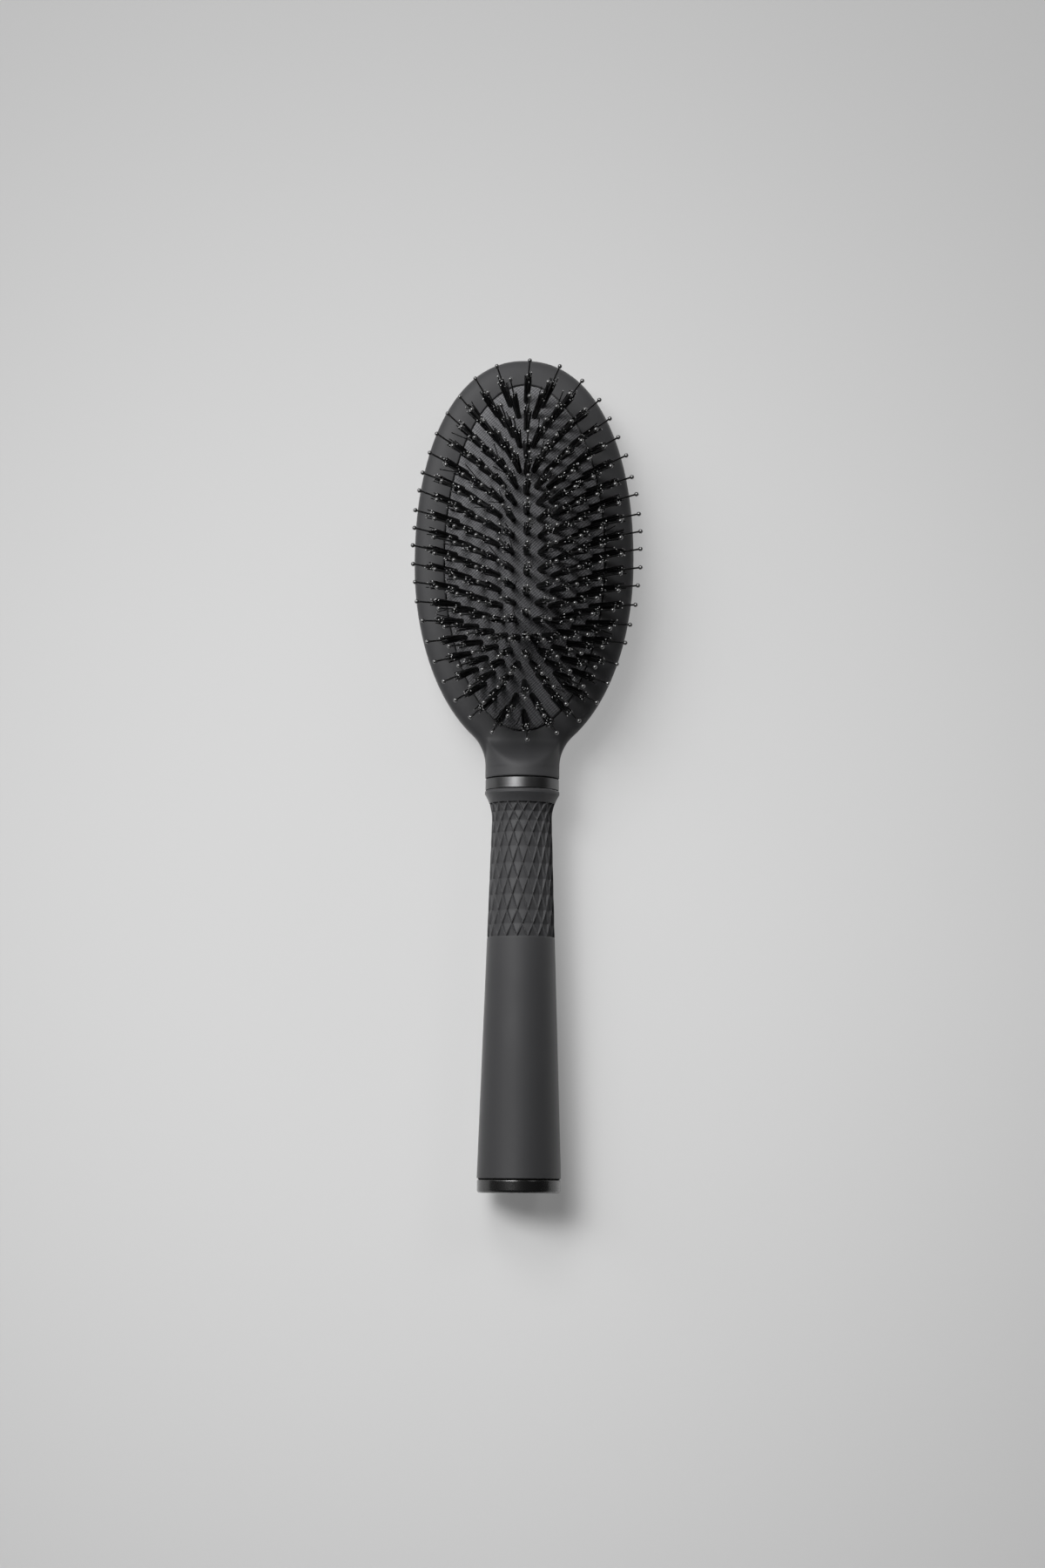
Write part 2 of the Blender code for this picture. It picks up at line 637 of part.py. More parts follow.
def build_tuft_ring(number, material):
    """One oval ring of tufts, in four nodes that each hold a quarter of the ring's facing."""
    half_width = OUTER_RING_HALF_WIDTH - number * TUFT_PITCH_ACROSS
    half_length = OUTER_RING_HALF_LENGTH - number * TUFT_PITCH_ALONG
    count = TUFT_RING_COUNTS[number]
    phase = 0.5 if number % 2 else 0.0
    turns = oval_turns(half_width, half_length, count, phase)
    inner = (half_width - TUFT_PITCH_ACROSS / 2, half_length - TUFT_PITCH_ALONG / 2)
    outer = (half_width + TUFT_PITCH_ACROSS / 2, half_length + TUFT_PITCH_ALONG / 2)
    if number == 0:
        edge = PAD_CLEARANCE + SEAT_GAP / 2
        outer = (CUSHION_HALF_WIDTH - edge, CUSHION_HALF_LENGTH - edge)
    inner = [side + SEAT_GAP / 2 for side in inner]
    outer = [side - SEAT_GAP / 2 for side in outer]
    two_sided = number < RINGS_WITH_TWO_BRISTLES
    bristle_sides = (-1, 1) if two_sided else (1,)

    quarter = count // 4
    made = []
    for arc in range(4):
        picked = range(arc * quarter, (arc + 1) * quarter)
        tufts = []
        for index in picked:
            place = oval_point(half_width, half_length, turns[index])
            along_ring = oval_tangent(half_width, half_length, turns[index])
            tufts.append((place.x, place.y, along_ring, bristle_sides))
        first = turn_between(turns, picked.start)
        last = turn_between(turns, picked.stop)
        trim = SEAT_GAP / 2 / half_width
        bounds = [first + trim] + spread(first + trim, last - trim, OVAL_COLUMNS // 4)
        edge_pairs = [(oval_point(*inner, turn), oval_point(*outer, turn)) for turn in bounds]
        name = "tuft_ring_%d_quarter_%d" % (number + 1, arc + 1)
        made.append(build_facing(name, edge_pairs, tufts, material))
    return made


def build_tuft_line(material):
    """The straight line of tufts along the middle of the cushion, on one slice of facing."""
    rings = len(TUFT_RING_COUNTS)
    half_width = OUTER_RING_HALF_WIDTH - (rings - 0.5) * TUFT_PITCH_ACROSS - TUFT_LINE_SLACK
    half_length = OUTER_RING_HALF_LENGTH - (rings - 0.5) * TUFT_PITCH_ALONG - TUFT_LINE_SLACK
    pitch = 2 * (half_length - TUFT_PITCH_ALONG / 2) / (TUFT_LINE_COUNT - 1)
    tufts = []
    edge_pairs = []
    for index in range(TUFT_LINE_COUNT):
        along = pitch * (index - (TUFT_LINE_COUNT - 1) / 2)
        tufts.append((0.0, along, Vector((0.0, 1.0)), (1,)))
    reach = half_length - TUFT_PITCH_ALONG / 3
    for index in range(TUFT_LINE_COUNT + 1):
        along = reach * (2 * index / TUFT_LINE_COUNT - 1)
        side = half_width * math.sqrt(1 - (along / half_length) ** 2)
        edge_pairs.append((Vector((-side, along)), Vector((side, along))))
    return build_facing("tuft_line_middle", edge_pairs, tufts, material)


# Handle

def smooth_grip_radius(from_butt):
    """Outer radius of the grip before its net is cut."""
    flare_start = GRIP_END - GRIP_LIP_LAND - flare_run()
    if from_butt <= NET_START:
        share = (from_butt - CAP_LENGTH) / (NET_START - CAP_LENGTH)
        return GRIP_BUTT_RADIUS + (GRIP_NET_END_RADIUS - GRIP_BUTT_RADIUS) * share
    if from_butt <= flare_start:
        share = (from_butt - NET_START) / (flare_start - NET_START)
        return GRIP_NET_END_RADIUS + (GRIP_WAIST_RADIUS - GRIP_NET_END_RADIUS) * share
    run = min(from_butt - flare_start, flare_run())
    return GRIP_WAIST_RADIUS + GRIP_FLARE_RADIUS - math.sqrt(GRIP_FLARE_RADIUS ** 2 - run ** 2)


def flare_run():
    """Length over which the waist of the grip flares out to its lip."""
    rise = GRIP_LIP_RADIUS - GRIP_WAIST_RADIUS
    return math.sqrt(GRIP_FLARE_RADIUS ** 2 - (GRIP_FLARE_RADIUS - rise) ** 2)


def net_rows():
    """Places along the grip of the rows where the net's ridges cross."""
    places = [NET_START]
    total = sum(NET_ROW_SHARES)
    for share in NET_ROW_SHARES:
        places.append(places[-1] + NET_LENGTH * share / total)
    return places


def net_ring(from_butt, row):
    """A ring that alternates between a crossing of the net and the bottom of a pit."""
    columns = 2 * NET_DIAMONDS_AROUND
    crossing = turned_ring(from_butt, smooth_grip_radius(from_butt), columns)
    pit = turned_ring(from_butt, smooth_grip_radius(from_butt) - NET_DEPTH, columns)
    return [crossing[column] if (column + row) % 2 else pit[column] for column in range(columns)]


def core_radius(from_butt):
    """Outer radius of the handle's core."""
    share = (from_butt - CORE_START) / (CORE_END - CORE_START)
    return CORE_BUTT_RADIUS + (CORE_TOP_RADIUS - CORE_BUTT_RADIUS) * share


def build_grip(material):
    """Soft sleeve with a net of diamond pits, a flared lip and a smooth swelling end."""
    columns = 2 * NET_DIAMONDS_AROUND
    shape = bmesh.new()
    point_rings = []
    for share in (0.0, 0.5, 1.0):
        place = GRIP_START + (NET_START - GRIP_START) * share
        point_rings.append(turned_ring(place, smooth_grip_radius(place), columns))
    floor = NET_STEP_DEPTH
    point_rings.append(turned_ring(NET_START, smooth_grip_radius(NET_START) - floor, columns))
    rows = net_rows()
    net_first = len(point_rings)
    for row, place in enumerate(rows[1:-1]):
        point_rings.append(net_ring(place, row))
    net_last = len(point_rings)
    point_rings.append(turned_ring(rows[-1], smooth_grip_radius(rows[-1]) - floor, columns))
    lip_start = GRIP_END - GRIP_LIP_LAND
    for place in [rows[-1]] + spread(rows[-1], lip_start, FLARE_STEPS):
        point_rings.append(turned_ring(place, smooth_grip_radius(place), columns))
    point_rings.append(turned_ring(GRIP_END, GRIP_LIP_RADIUS - COLLAR_EDGE, columns))
    bore = [(GRIP_END, core_radius(CORE_END)), (CORE_START, core_radius(CORE_START)),
            (GRIP_START, core_radius(CORE_START))]
    point_rings += [turned_ring(place, radius + SEAT_GAP, columns) for place, radius in bore]
    rings = add_rings(shape, point_rings)
    for index, near in enumerate(rings):
        far = rings[(index + 1) % len(rings)]
        for column in range(columns):
            after = (column + 1) % columns
            corners = (near[column], near[after], far[after], far[column])
            in_net = net_first - 1 <= index < net_last
            if not in_net:
                shape.faces.new(corners)
            elif (column + index - net_first) % 2:
                shape.faces.new((corners[0], corners[1], corners[2]))
                shape.faces.new((corners[0], corners[2], corners[3]))
            else:
                shape.faces.new((corners[0], corners[1], corners[3]))
                shape.faces.new((corners[1], corners[2], corners[3]))
    return object_from_bmesh("grip_sleeve", shape, material)


def build_core(material):
    """Hard core inside the grip: socket for the tang, a web for the screw and a hollow butt."""
    socket = TANG_RADIUS + SEAT_GAP
    web_bore = SCREW_SHANK_RADIUS + SCREW_CLEARANCE
    hollow_top = SCREW_HEAD_RADIUS + SCREW_CLEARANCE
    hollow_butt = CORE_BUTT_RADIUS - CORE_WALL
    profile = [
        (CORE_START, core_radius(CORE_START)),
        (CORE_END, core_radius(CORE_END)),
        (CORE_END, socket),
        (SOCKET_END, socket),
        (SOCKET_END, web_bore),
        (WEB_START, web_bore),
        (WEB_START, hollow_top),
        (CORE_START + CAP_SPIGOT_LENGTH + CORE_SPIGOT_SPARE, hollow_butt),
        (CORE_START, hollow_butt),
    ]
    return turned_solid("handle_core", profile, material, loop=True)


def build_screw(material):
    """Pan-headed screw through the core's web into the tang."""
    head_under = WEB_START - SEAT_GAP
    head_top_place = head_under - SCREW_HEAD_HEIGHT
    shank_end = TANG_END + SCREW_REACH
    drive = SCREW_SHANK_RADIUS
    profile = [
        (head_top_place + SCREW_HEAD_HEIGHT / 2, drive / 2),
        (head_top_place, drive),
        (head_top_place, SCREW_HEAD_RADIUS - SCREW_HEAD_HEIGHT / 4),
        (head_top_place + SCREW_HEAD_HEIGHT / 4, SCREW_HEAD_RADIUS),
        (head_under, SCREW_HEAD_RADIUS),
        (head_under, SCREW_SHANK_RADIUS),
        (shank_end - SCREW_SHANK_RADIUS, SCREW_SHANK_RADIUS),
        (shank_end, SCREW_SHANK_RADIUS / 2),
    ]
    return turned_solid("tang_screw", profile, material)


def build_collar(material):
    """Metal collar between the neck and the grip."""
    bore = SPIGOT_RADIUS + SEAT_GAP
    edge = COLLAR_EDGE
    profile = [
        (COLLAR_START, COLLAR_RADIUS - edge),
        (COLLAR_START + edge, COLLAR_RADIUS),
        (COLLAR_END - edge, COLLAR_RADIUS),
        (COLLAR_END, COLLAR_RADIUS - edge),
        (COLLAR_END, bore),
        (COLLAR_START, bore),
    ]
    return turned_solid("collar_ring", profile, material, loop=True)


def build_cap(material):
    """End cap with a rounded rim and the spigot that plugs the core's hollow."""
    spigot = CORE_BUTT_RADIUS - CORE_WALL - SEAT_GAP
    profile = rounded_edge(0.0, CAP_RADIUS, CAP_ROUNDING, 1)
    profile += [
        (CAP_LENGTH - CAP_EDGE, CAP_RADIUS),
        (CAP_LENGTH, CAP_RADIUS - CAP_EDGE),
        (CAP_LENGTH, spigot),
        (CORE_START + CAP_SPIGOT_LENGTH - CAP_EDGE, spigot),
        (CORE_START + CAP_SPIGOT_LENGTH, spigot - CAP_EDGE),
    ]
    return turned_solid("end_cap", profile, material)


def build_brush():
    """Every piece of the brush, and the empty that carries what sinks when the cushion is pressed."""
    soft_black = make_material("soft_touch_plastic", (0.045, 0.045, 0.050), 0.55)
    grip_black = make_material("soft_touch_grip", (0.050, 0.050, 0.055), 0.60)
    core_black = make_material("core_plastic", (0.020, 0.020, 0.022), 0.50)
    gunmetal = make_material("brushed_gunmetal", (0.20, 0.20, 0.21), 0.35, 1.0)
    screw_steel = make_material("screw_steel", (0.55, 0.55, 0.56), 0.30, 1.0)
    gloss_black = make_material("gloss_cap", (0.012, 0.012, 0.014), 0.15)
    pad_rubber = make_material("pad_rubber", (0.030, 0.030, 0.032), 0.80)
    facing_cloth = make_material("cushion_cloth_and_bristle", (0.035, 0.035, 0.040), 0.65)

    build_head(soft_black)
    build_grip(grip_black)
    build_core(core_black)
    build_screw(screw_steel)
    build_collar(gunmetal)
    build_cap(gloss_black)

    press = bpy.data.objects.new("cushion_press_axis", None)
    bpy.context.scene.collection.objects.link(press)
    press.location = (0.0, CUSHION_CENTRE_Y, FLANGE_TOP)
    moving = [build_pad(pad_rubber)]
    for number in range(len(TUFT_RING_COUNTS)):
        moving += build_tuft_ring(number, facing_cloth)
    moving.append(build_tuft_line(facing_cloth))
    bpy.context.view_layer.update()
    for piece in moving:
        piece.parent = press
        piece.matrix_parent_inverse = press.matrix_world.inverted()


clear_objects()
build_brush()
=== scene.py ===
# %% [markdown]
# # An oval cushion brush
# A styling brush lies on its back on a pale table, pins up. Its head holds a cloth-faced air cushion with
# 185 tufts of bristle, and a net of diamonds is moulded into its grip.
# The packed CAD model already says where every piece sits and what moves. This lesson gives each piece its
# finer surface and its finish, in Blender's own mesh code and shader nodes.

# %% Load the packed brush
import math
import random

import bmesh
import bpy
import numpy as np
from mathutils import Matrix, Vector


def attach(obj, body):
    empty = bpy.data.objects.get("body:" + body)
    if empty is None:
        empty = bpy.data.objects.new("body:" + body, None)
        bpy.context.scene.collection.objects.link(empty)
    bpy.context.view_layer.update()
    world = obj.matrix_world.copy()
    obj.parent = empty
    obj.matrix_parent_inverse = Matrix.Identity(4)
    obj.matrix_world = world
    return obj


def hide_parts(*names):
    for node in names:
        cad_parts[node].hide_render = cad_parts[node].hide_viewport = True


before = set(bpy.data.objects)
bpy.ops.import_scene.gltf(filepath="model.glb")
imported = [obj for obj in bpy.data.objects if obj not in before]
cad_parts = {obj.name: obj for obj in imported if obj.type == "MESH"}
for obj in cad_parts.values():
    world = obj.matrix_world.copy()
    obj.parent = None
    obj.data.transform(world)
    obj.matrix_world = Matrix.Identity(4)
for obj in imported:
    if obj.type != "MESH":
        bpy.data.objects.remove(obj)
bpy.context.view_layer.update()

# %% [markdown]
# ## The camera
# The photograph looks almost straight down, from a little over a metre, and from slightly below and left of
# the middle of the brush. A long lens keeps the outline nearly parallel.
# The view could be set by turning a camera by hand. Here it is worked out from two small tilts, so that the
# brush's tip and butt land where they do in the picture.

# %% Camera
MM = 0.001
LENS = 91.0
CAMERA_DISTANCE = 1180 * MM
AIM = Vector((0.08 * MM, -3.3 * MM, 12.5 * MM))
TILT_TO_TIP = math.radians(5.8)
TILT_TO_RIGHT = math.radians(2.0)
PICTURE_TURN = math.radians(-0.5)


def new_object(name, data):
    """An object in the scene that holds this data."""
    made = bpy.data.objects.new(name, data)
    bpy.context.scene.collection.objects.link(made)
    return made


forward = Vector((math.sin(TILT_TO_RIGHT), math.sin(TILT_TO_TIP), -1.0)).normalized()
up_in_picture = Vector((math.sin(PICTURE_TURN), math.cos(PICTURE_TURN), 0.0))
right = forward.cross(up_in_picture).normalized()
up = right.cross(forward)
camera = new_object("camera", bpy.data.cameras.new("camera"))
camera.data.lens = LENS
turned = Matrix((right, up, -forward)).transposed().to_4x4()
camera.matrix_world = Matrix.Translation(AIM - forward * CAMERA_DISTANCE) @ turned
bpy.context.scene.camera = camera
print("camera at, in mm:", [round(place / MM) for place in camera.matrix_world.translation])

# %% [markdown]
# ## Sums on shader sockets
# A finish is a tree of nodes, and most of those nodes are plain sums. Wiring each by hand hides the sum.
# A small class can stand for the output of a node and overload Python's operators, so that
# `1 - groove * 0.5` adds the Math nodes by itself. Colours go through Mix nodes, because a Math node would
# turn them grey. A second class holds a tree and adds every other kind of node in one way.

# %% Socket
class Socket:
    """An output of a shader node that works in ordinary sums."""

    def __init__(self, nodes, output):
        self.nodes = nodes
        self.output = output

    def math(self, operation, *values):
        return self.nodes.node("Math", {"operation": operation}, dict(enumerate(values)))

    def __add__(self, other):
        return self.math("ADD", self, other)

    def __radd__(self, other):
        return self.math("ADD", other, self)

    def __sub__(self, other):
        return self.math("SUBTRACT", self, other)

    def __rsub__(self, other):
        return self.math("SUBTRACT", other, self)

    def __mul__(self, other):
        return self.math("MULTIPLY", self, other)

    def __rmul__(self, other):
        return self.math("MULTIPLY", other, self)

    def __truediv__(self, other):
        return self.math("DIVIDE", self, other)

    def __rtruediv__(self, other):
        return self.math("DIVIDE", other, self)

    def __pow__(self, other):
        return self.math("POWER", self, other)

    def __rpow__(self, other):
        return self.math("POWER", other, self)

    def wave(self, pitch):
        """A soft wave from 0 to 1 and back over each pitch."""
        return self.math("SINE", self * (math.tau / pitch)) * 0.5 + 0.5


reflected = [name.strip("_") for name in vars(Socket) if name.startswith("__r")]
print("sums that also work with the number first:", reflected)


# %% Nodes and Finish
def set_stops(ramp, stops):
    """Set a ramp's places and colours."""
    while len(ramp.elements) < len(stops):
        ramp.elements.new(1.0)
    for element, (place, colour) in zip(ramp.elements, stops):
        element.position = place
        element.color = colour


class Nodes:
    """A node tree, and one way to add nodes to it."""

    def __init__(self, tree):
        self.tree = tree

    def node(self, kind, settings=None, inputs=None, output=0):
        """Add one node: its settings first, then the values or links of its sockets."""
        made = self.tree.nodes.new("ShaderNode" + kind)
        for name, value in (settings or {}).items():
            if name == "stops":
                set_stops(made.color_ramp, value)
            else:
                setattr(made, name, value)
        self.feed(made, inputs or {})
        return Socket(self, made.outputs[output])

    def feed(self, node, inputs):
        """Give sockets of a node their values or links."""
        for name, value in inputs.items():
            if isinstance(value, Socket):
                self.tree.links.new(value.output, node.inputs[name])
            else:
                node.inputs[name].default_value = value

    def mix(self, share, first, second):
        """A colour between two colours."""
        return self.node("Mix", {"data_type": "RGBA"}, {0: share, 6: first, 7: second}, output=2)

    def ramp(self, value, stops):
        """The colour that a ramp gives a value."""
        return self.node("ValToRGB", {"stops": stops}, {0: value})

    def rise(self, value, start, end, low=0.0, high=1.0):
        """Low up to the start, then smoothly up to high at the end."""
        inputs = {"Value": value, "From Min": start, "From Max": end, "To Min": low, "To Max": high}
        return self.node("MapRange", {"interpolation_type": "SMOOTHSTEP"}, inputs)

    def place(self):
        """The place on the piece, in metres, which moves with the piece."""
        return self.node("TexCoord", output="Object")

    def parts(self, vector):
        """The three numbers of a vector."""
        split = self.node("SeparateXYZ", inputs={"Vector": vector}).output.node
        return [Socket(self, output) for output in split.outputs]

    def noise(self, size, detail=2.0, roughness=0.5):
        """Cloudy noise whose blotches are about this size in metres."""
        inputs = {"Vector": self.place(), "Scale": 1.0 / size, "Detail": detail, "Roughness": roughness}
        return self.node("TexNoise", inputs=inputs)

    def bump(self, height, depth, strength=1.0, below=None):
        """A normal from a height of 0 to 1 that stands for this depth in metres."""
        inputs = {"Height": height, "Distance": depth, "Strength": strength}
        if below is not None:
            inputs["Normal"] = below
        return self.node("Bump", inputs=inputs)


class Finish(Nodes):
    """A material, with what is the same all over it set on its own shader."""

    def __init__(self, name, constants):
        self.material = bpy.data.materials.new(name)
        self.material.use_nodes = True
        super().__init__(self.material.node_tree)
        self.surface(constants)

    def surface(self, inputs):
        """Feed the material's own shader."""
        self.feed(self.tree.nodes["Principled BSDF"], inputs)


def grey(level, blue=0.0):
    """A colour from an sRGB level of 0 to 255, whose blue is a few levels higher."""
    levels = [level, level, level + blue]
    return tuple((each / 255) ** 2.2 for each in levels) + (1.0,)


print("a level of 72 is written as", [round(part, 4) for part in grey(72)])

# %% [markdown]
# ## Soft-touch plastic
# Head and grip have the same matt, rubbery paint. It has no clear highlight, it is lighter where it is seen
# at a low angle, and close up it has a very fine grain and faint hand marks. Its grey along the brush also
# holds painted light and shade: painted a little paler round the neck, at the net and towards the tip than
# at the butt, darker on the flare of the lip, with a painted highlight on the lip's rim.
# A single rough grey would look like clay. So three sizes of noise share the work: grain for the bump, hand
# marks for the roughness, and slow clouds between two colour ramps that run along the brush and carry that
# painted light.

# %% Soft-touch finish
OVERALL = 249.0 * MM
PAINT_GRAIN = 0.12 * MM
PAINT_GRAIN_DEPTH = 0.02 * MM
HAND_MARKS = 14 * MM
PAINT_CLOUDS = 45 * MM
CLOUD_CHANGE = 3
PAINT_BLUE = 1.5
HEAD_SHEEN = 0.22
GRIP_SHEEN = 0.34
# Grey levels from the butt, in mm, with painted light and shade: paler at the neck, net and tip, darker on
# the lip's flare, and a painted highlight on the lip's rim.
HEAD_LEVELS_WITH_PAINTED_LIGHT = [(121, 62), (124, 61), (128, 55), (131, 52), (225, 52), (246, 56)]
GRIP_LEVELS_WITH_PAINTED_LIGHT = [(3, 49), (20, 50), (61, 54), (80, 59), (100, 62), (113, 60), (117, 55), (120, 62)]


def along(from_butt):
    """Y of a place measured from the butt end."""
    return from_butt - OVERALL / 2


def soft_touch(name, levels, sheen):
    """Matt rubbery paint whose grey level is given at places from the butt end, in millimetres."""
    finish = Finish(name, {"Specular IOR Level": 0.45, "Sheen Weight": sheen, "Sheen Roughness": 0.4})
    # The grey levels along the brush hold painted light and shade as well as the paint's own grey.
    first, last = levels[0][0], levels[-1][0]
    y = finish.parts(finish.place())[1]
    ends = {"From Min": along(first * MM), "From Max": along(last * MM)}
    run = finish.node("MapRange", inputs={"Value": y, **ends})
    ramps = []
    for change in (-CLOUD_CHANGE, CLOUD_CHANGE):
        stops = [((place - first) / (last - first), grey(level + change, PAINT_BLUE))
                 for place, level in levels]
        ramps.append(finish.ramp(run, stops))
    grain = finish.noise(PAINT_GRAIN, detail=3.0)
    handled = finish.noise(HAND_MARKS, detail=3.0, roughness=0.6)
    finish.surface({
        "Base Color": finish.mix(finish.noise(PAINT_CLOUDS), *ramps),
        "Roughness": 0.56 + handled * 0.12 + grain * 0.03,
        "Normal": finish.bump(grain, PAINT_GRAIN_DEPTH, strength=0.5),
    })
    return finish


head_paint = soft_touch("soft_touch_head", HEAD_LEVELS_WITH_PAINTED_LIGHT, HEAD_SHEEN)
grip_paint = soft_touch("soft_touch_grip", GRIP_LEVELS_WITH_PAINTED_LIGHT, GRIP_SHEEN)
print("finishes:", head_paint.material.name, grip_paint.material.name)

# %% [markdown]
# ## Turned pieces and lofts
# Grip, collar and cap are all round about one straight axis, and the head is a row of cross-sections.
# Both are rings of points joined by faces. Blender's Screw and Spin tools make round pieces too, but one
# helper that skins a list of rings serves the round pieces and the head alike.
# Another helper shows a mesh as a piece: it says which body the piece moves with, and which CAD nodes it
# takes the place of.

# %% Skin a list of rings
AXIS_HEIGHT = 12.45 * MM
SMOOTH_ANGLE = math.radians(32)
ROUND_COLUMNS = 160


def skin(name, rings, loop=False, diagonal=None):
    """A closed mesh through rings of points, capped at both ends unless the rings form a loop.

    Where diagonal(ring, column) gives 0 or 1, the face there is split along that diagonal.
    """
    count = len(rings[0])
    points = [point for ring in rings for point in ring]
    faces = []
    for near in range(len(rings) if loop else len(rings) - 1):
        far = (near + 1) % len(rings)
        for column in range(count):
            after = (column + 1) % count
            a, b = near * count + column, near * count + after
            c, d = far * count + after, far * count + column
            way = diagonal(near, column) if diagonal else None
            if way is None:
                faces.append((a, b, c, d))
            elif way:
                faces += [(a, b, c), (a, c, d)]
            else:
                faces += [(a, b, d), (b, c, d)]
    if not loop:
        faces.append(tuple(range(count)))
        faces.append(tuple(range(len(points) - count, len(points))))
    mesh = bpy.data.meshes.new(name)
    mesh.from_pydata(points, [], faces)
    tidy(mesh)
    return mesh


def tidy(mesh):
    """Turn the faces outward and shade the mesh smooth but for its real edges."""
    shape = bmesh.new()
    shape.from_mesh(mesh)
    bmesh.ops.recalc_face_normals(shape, faces=shape.faces)
    shape.to_mesh(mesh)
    shape.free()
    mesh.shade_smooth()
    mesh.set_sharp_from_angle(angle=SMOOTH_ANGLE)


def round_ring(from_butt, radius, columns):
    """A ring about the handle's axis, from its lowest point."""
    ring = []
    for column in range(columns):
        turn = math.tau * column / columns
        ring.append((radius * math.sin(turn), along(from_butt), AXIS_HEIGHT - radius * math.cos(turn)))
    return ring


def turned_mesh(name, profile, loop=False):
    """A mesh turned about the handle's axis from places and radii."""
    return skin(name, [round_ring(place, radius, ROUND_COLUMNS) for place, radius in profile], loop)


def add_piece(mesh, finish, body, slot, *replaced):
    """Show a mesh as a piece of the brush, in place of CAD nodes if it replaces any."""
    piece = new_object(mesh.name, mesh)
    mesh.materials.append(finish.material)
    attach(piece, body)
    if replaced:
        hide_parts(*replaced)
    print(piece.name, "has", len(mesh.polygons), "faces")
    return piece


print("the handle's axis is %.2f mm above the table" % (AXIS_HEIGHT / MM))

# %% [markdown]
# ## The head
# The head is one moulding: an oval paddle with a flat face and rounded edges, which narrows through two
# fillets into a round neck. A smooth scoop leads from the face up on to the neck.
# It could be sculpted from a subdivided cube, but the neck would wander. Cross-sections keep it true: each
# is a rounded shape whose half-width, face height and back height come from three curves along the brush.

# %% Where the fillets lie
NECK_START = 122.75 * MM
NECK_RADIUS = 11.02 * MM
NECK_FILLET = 13.0 * MM
HEAD_HALF_WIDTH = 32.8 * MM
HEAD_WIDEST = 187.3 * MM
HEAD_LOWER_OVAL = 58.1 * MM
SEARCH_TURNS = 2001
SEARCH_ROUNDS = 40


def find_fillet():
    """Where the fillet's centre lies along the brush, and where the fillet meets the oval."""
    turns = np.linspace(0, math.pi / 2, SEARCH_TURNS)
    oval_across = HEAD_HALF_WIDTH * np.cos(turns)
    oval_along = HEAD_WIDEST - HEAD_LOWER_OVAL * np.sin(turns)
    low = HEAD_WIDEST - 2 * HEAD_LOWER_OVAL
    high = HEAD_WIDEST
    for _ in range(SEARCH_ROUNDS):
        centre = (low + high) / 2
        gaps = np.hypot(oval_across - NECK_RADIUS - NECK_FILLET, oval_along - centre)
        if gaps.min() > NECK_FILLET:
            low = centre
        else:
            high = centre
    return centre, oval_along[gaps.argmin()]


FILLET_CENTRE, FILLET_TOUCH = find_fillet()
print("fillet from %.1f to %.1f mm" % (FILLET_CENTRE / MM, FILLET_TOUCH / MM))


# %% Half-width and back of the head
TIP_FULLNESS = 2.2
BACK_LAND_END = 158.0 * MM
BACK_TIP_RISE = 46.0 * MM


def smooth_share(first, last, place):
    """0 up to the first place, rising smoothly to 1 at the last."""
    share = min(1.0, max(0.0, (place - first) / (last - first)))
    return share * share * (3 - 2 * share)


def head_half_width(from_butt):
    """Half-width of neck, fillet or paddle."""
    if from_butt >= HEAD_WIDEST:
        share = (from_butt - HEAD_WIDEST) / (OVERALL - HEAD_WIDEST)
        return HEAD_HALF_WIDTH * max(0.0, 1 - share ** TIP_FULLNESS) ** (1 / TIP_FULLNESS)
    if from_butt >= FILLET_TOUCH:
        share = (HEAD_WIDEST - from_butt) / HEAD_LOWER_OVAL
        return HEAD_HALF_WIDTH * math.sqrt(max(0.0, 1 - share ** 2))
    if from_butt >= FILLET_CENTRE:
        rise = from_butt - FILLET_CENTRE
        return NECK_RADIUS + NECK_FILLET - math.sqrt(NECK_FILLET ** 2 - rise ** 2)
    return NECK_RADIUS


def head_back(from_butt):
    """Height of the middle of the back, which the brush lies on."""
    from_tip = OVERALL - from_butt
    if from_tip < BACK_TIP_RISE:
        share = 1 - from_tip / BACK_TIP_RISE
        return AXIS_HEIGHT * (1 - max(0.0, 1 - share ** TIP_FULLNESS) ** (1 / TIP_FULLNESS))
    return (AXIS_HEIGHT - NECK_RADIUS) * smooth_share(BACK_LAND_END, FILLET_CENTRE, from_butt)


print("the head is %.1f mm wide" % (2 * head_half_width(HEAD_WIDEST) / MM))

# %% [markdown]
# The face falls away softly to the outline, and the scoop cuts the round neck off in a soft crescent. Three
# heights make that top: a crown that depends on the distance from the outline, the round of the neck, and
# the scoop. Joining them with powers, instead of taking the highest or lowest, leaves no crease.

# %% Top of the head
FACE_HEIGHT = 17.0 * MM
SCOOP_START = 135.4 * MM
SCOOP_END = 124.4 * MM
CROWN_REACH = 8.2 * MM
CROWN_FULLNESS = 2.6
CROWN_JOIN = 4
SCOOP_JOIN = 10
NEARLY_FULL = 0.9999
OUTLINE_STEPS = 700
tip_shares = np.sin(np.linspace(0, math.pi / 2, OUTLINE_STEPS))
outline_places = np.concatenate([np.linspace(SCOOP_END, HEAD_WIDEST, OUTLINE_STEPS),
                                 HEAD_WIDEST + (OVERALL - HEAD_WIDEST) * tip_shares])
outline_widths = np.array([head_half_width(place) for place in outline_places])


def crown_height(across, from_butt):
    """Heights of the paddle's face over the handle's axis, at places across."""
    gaps = np.hypot(across[:, None] - outline_widths, from_butt - outline_places).min(axis=1)
    inward = 1 - np.clip(gaps / CROWN_REACH, 0, 1)
    return (FACE_HEIGHT - AXIS_HEIGHT) * (1 - inward ** CROWN_FULLNESS) ** (1 / CROWN_FULLNESS)


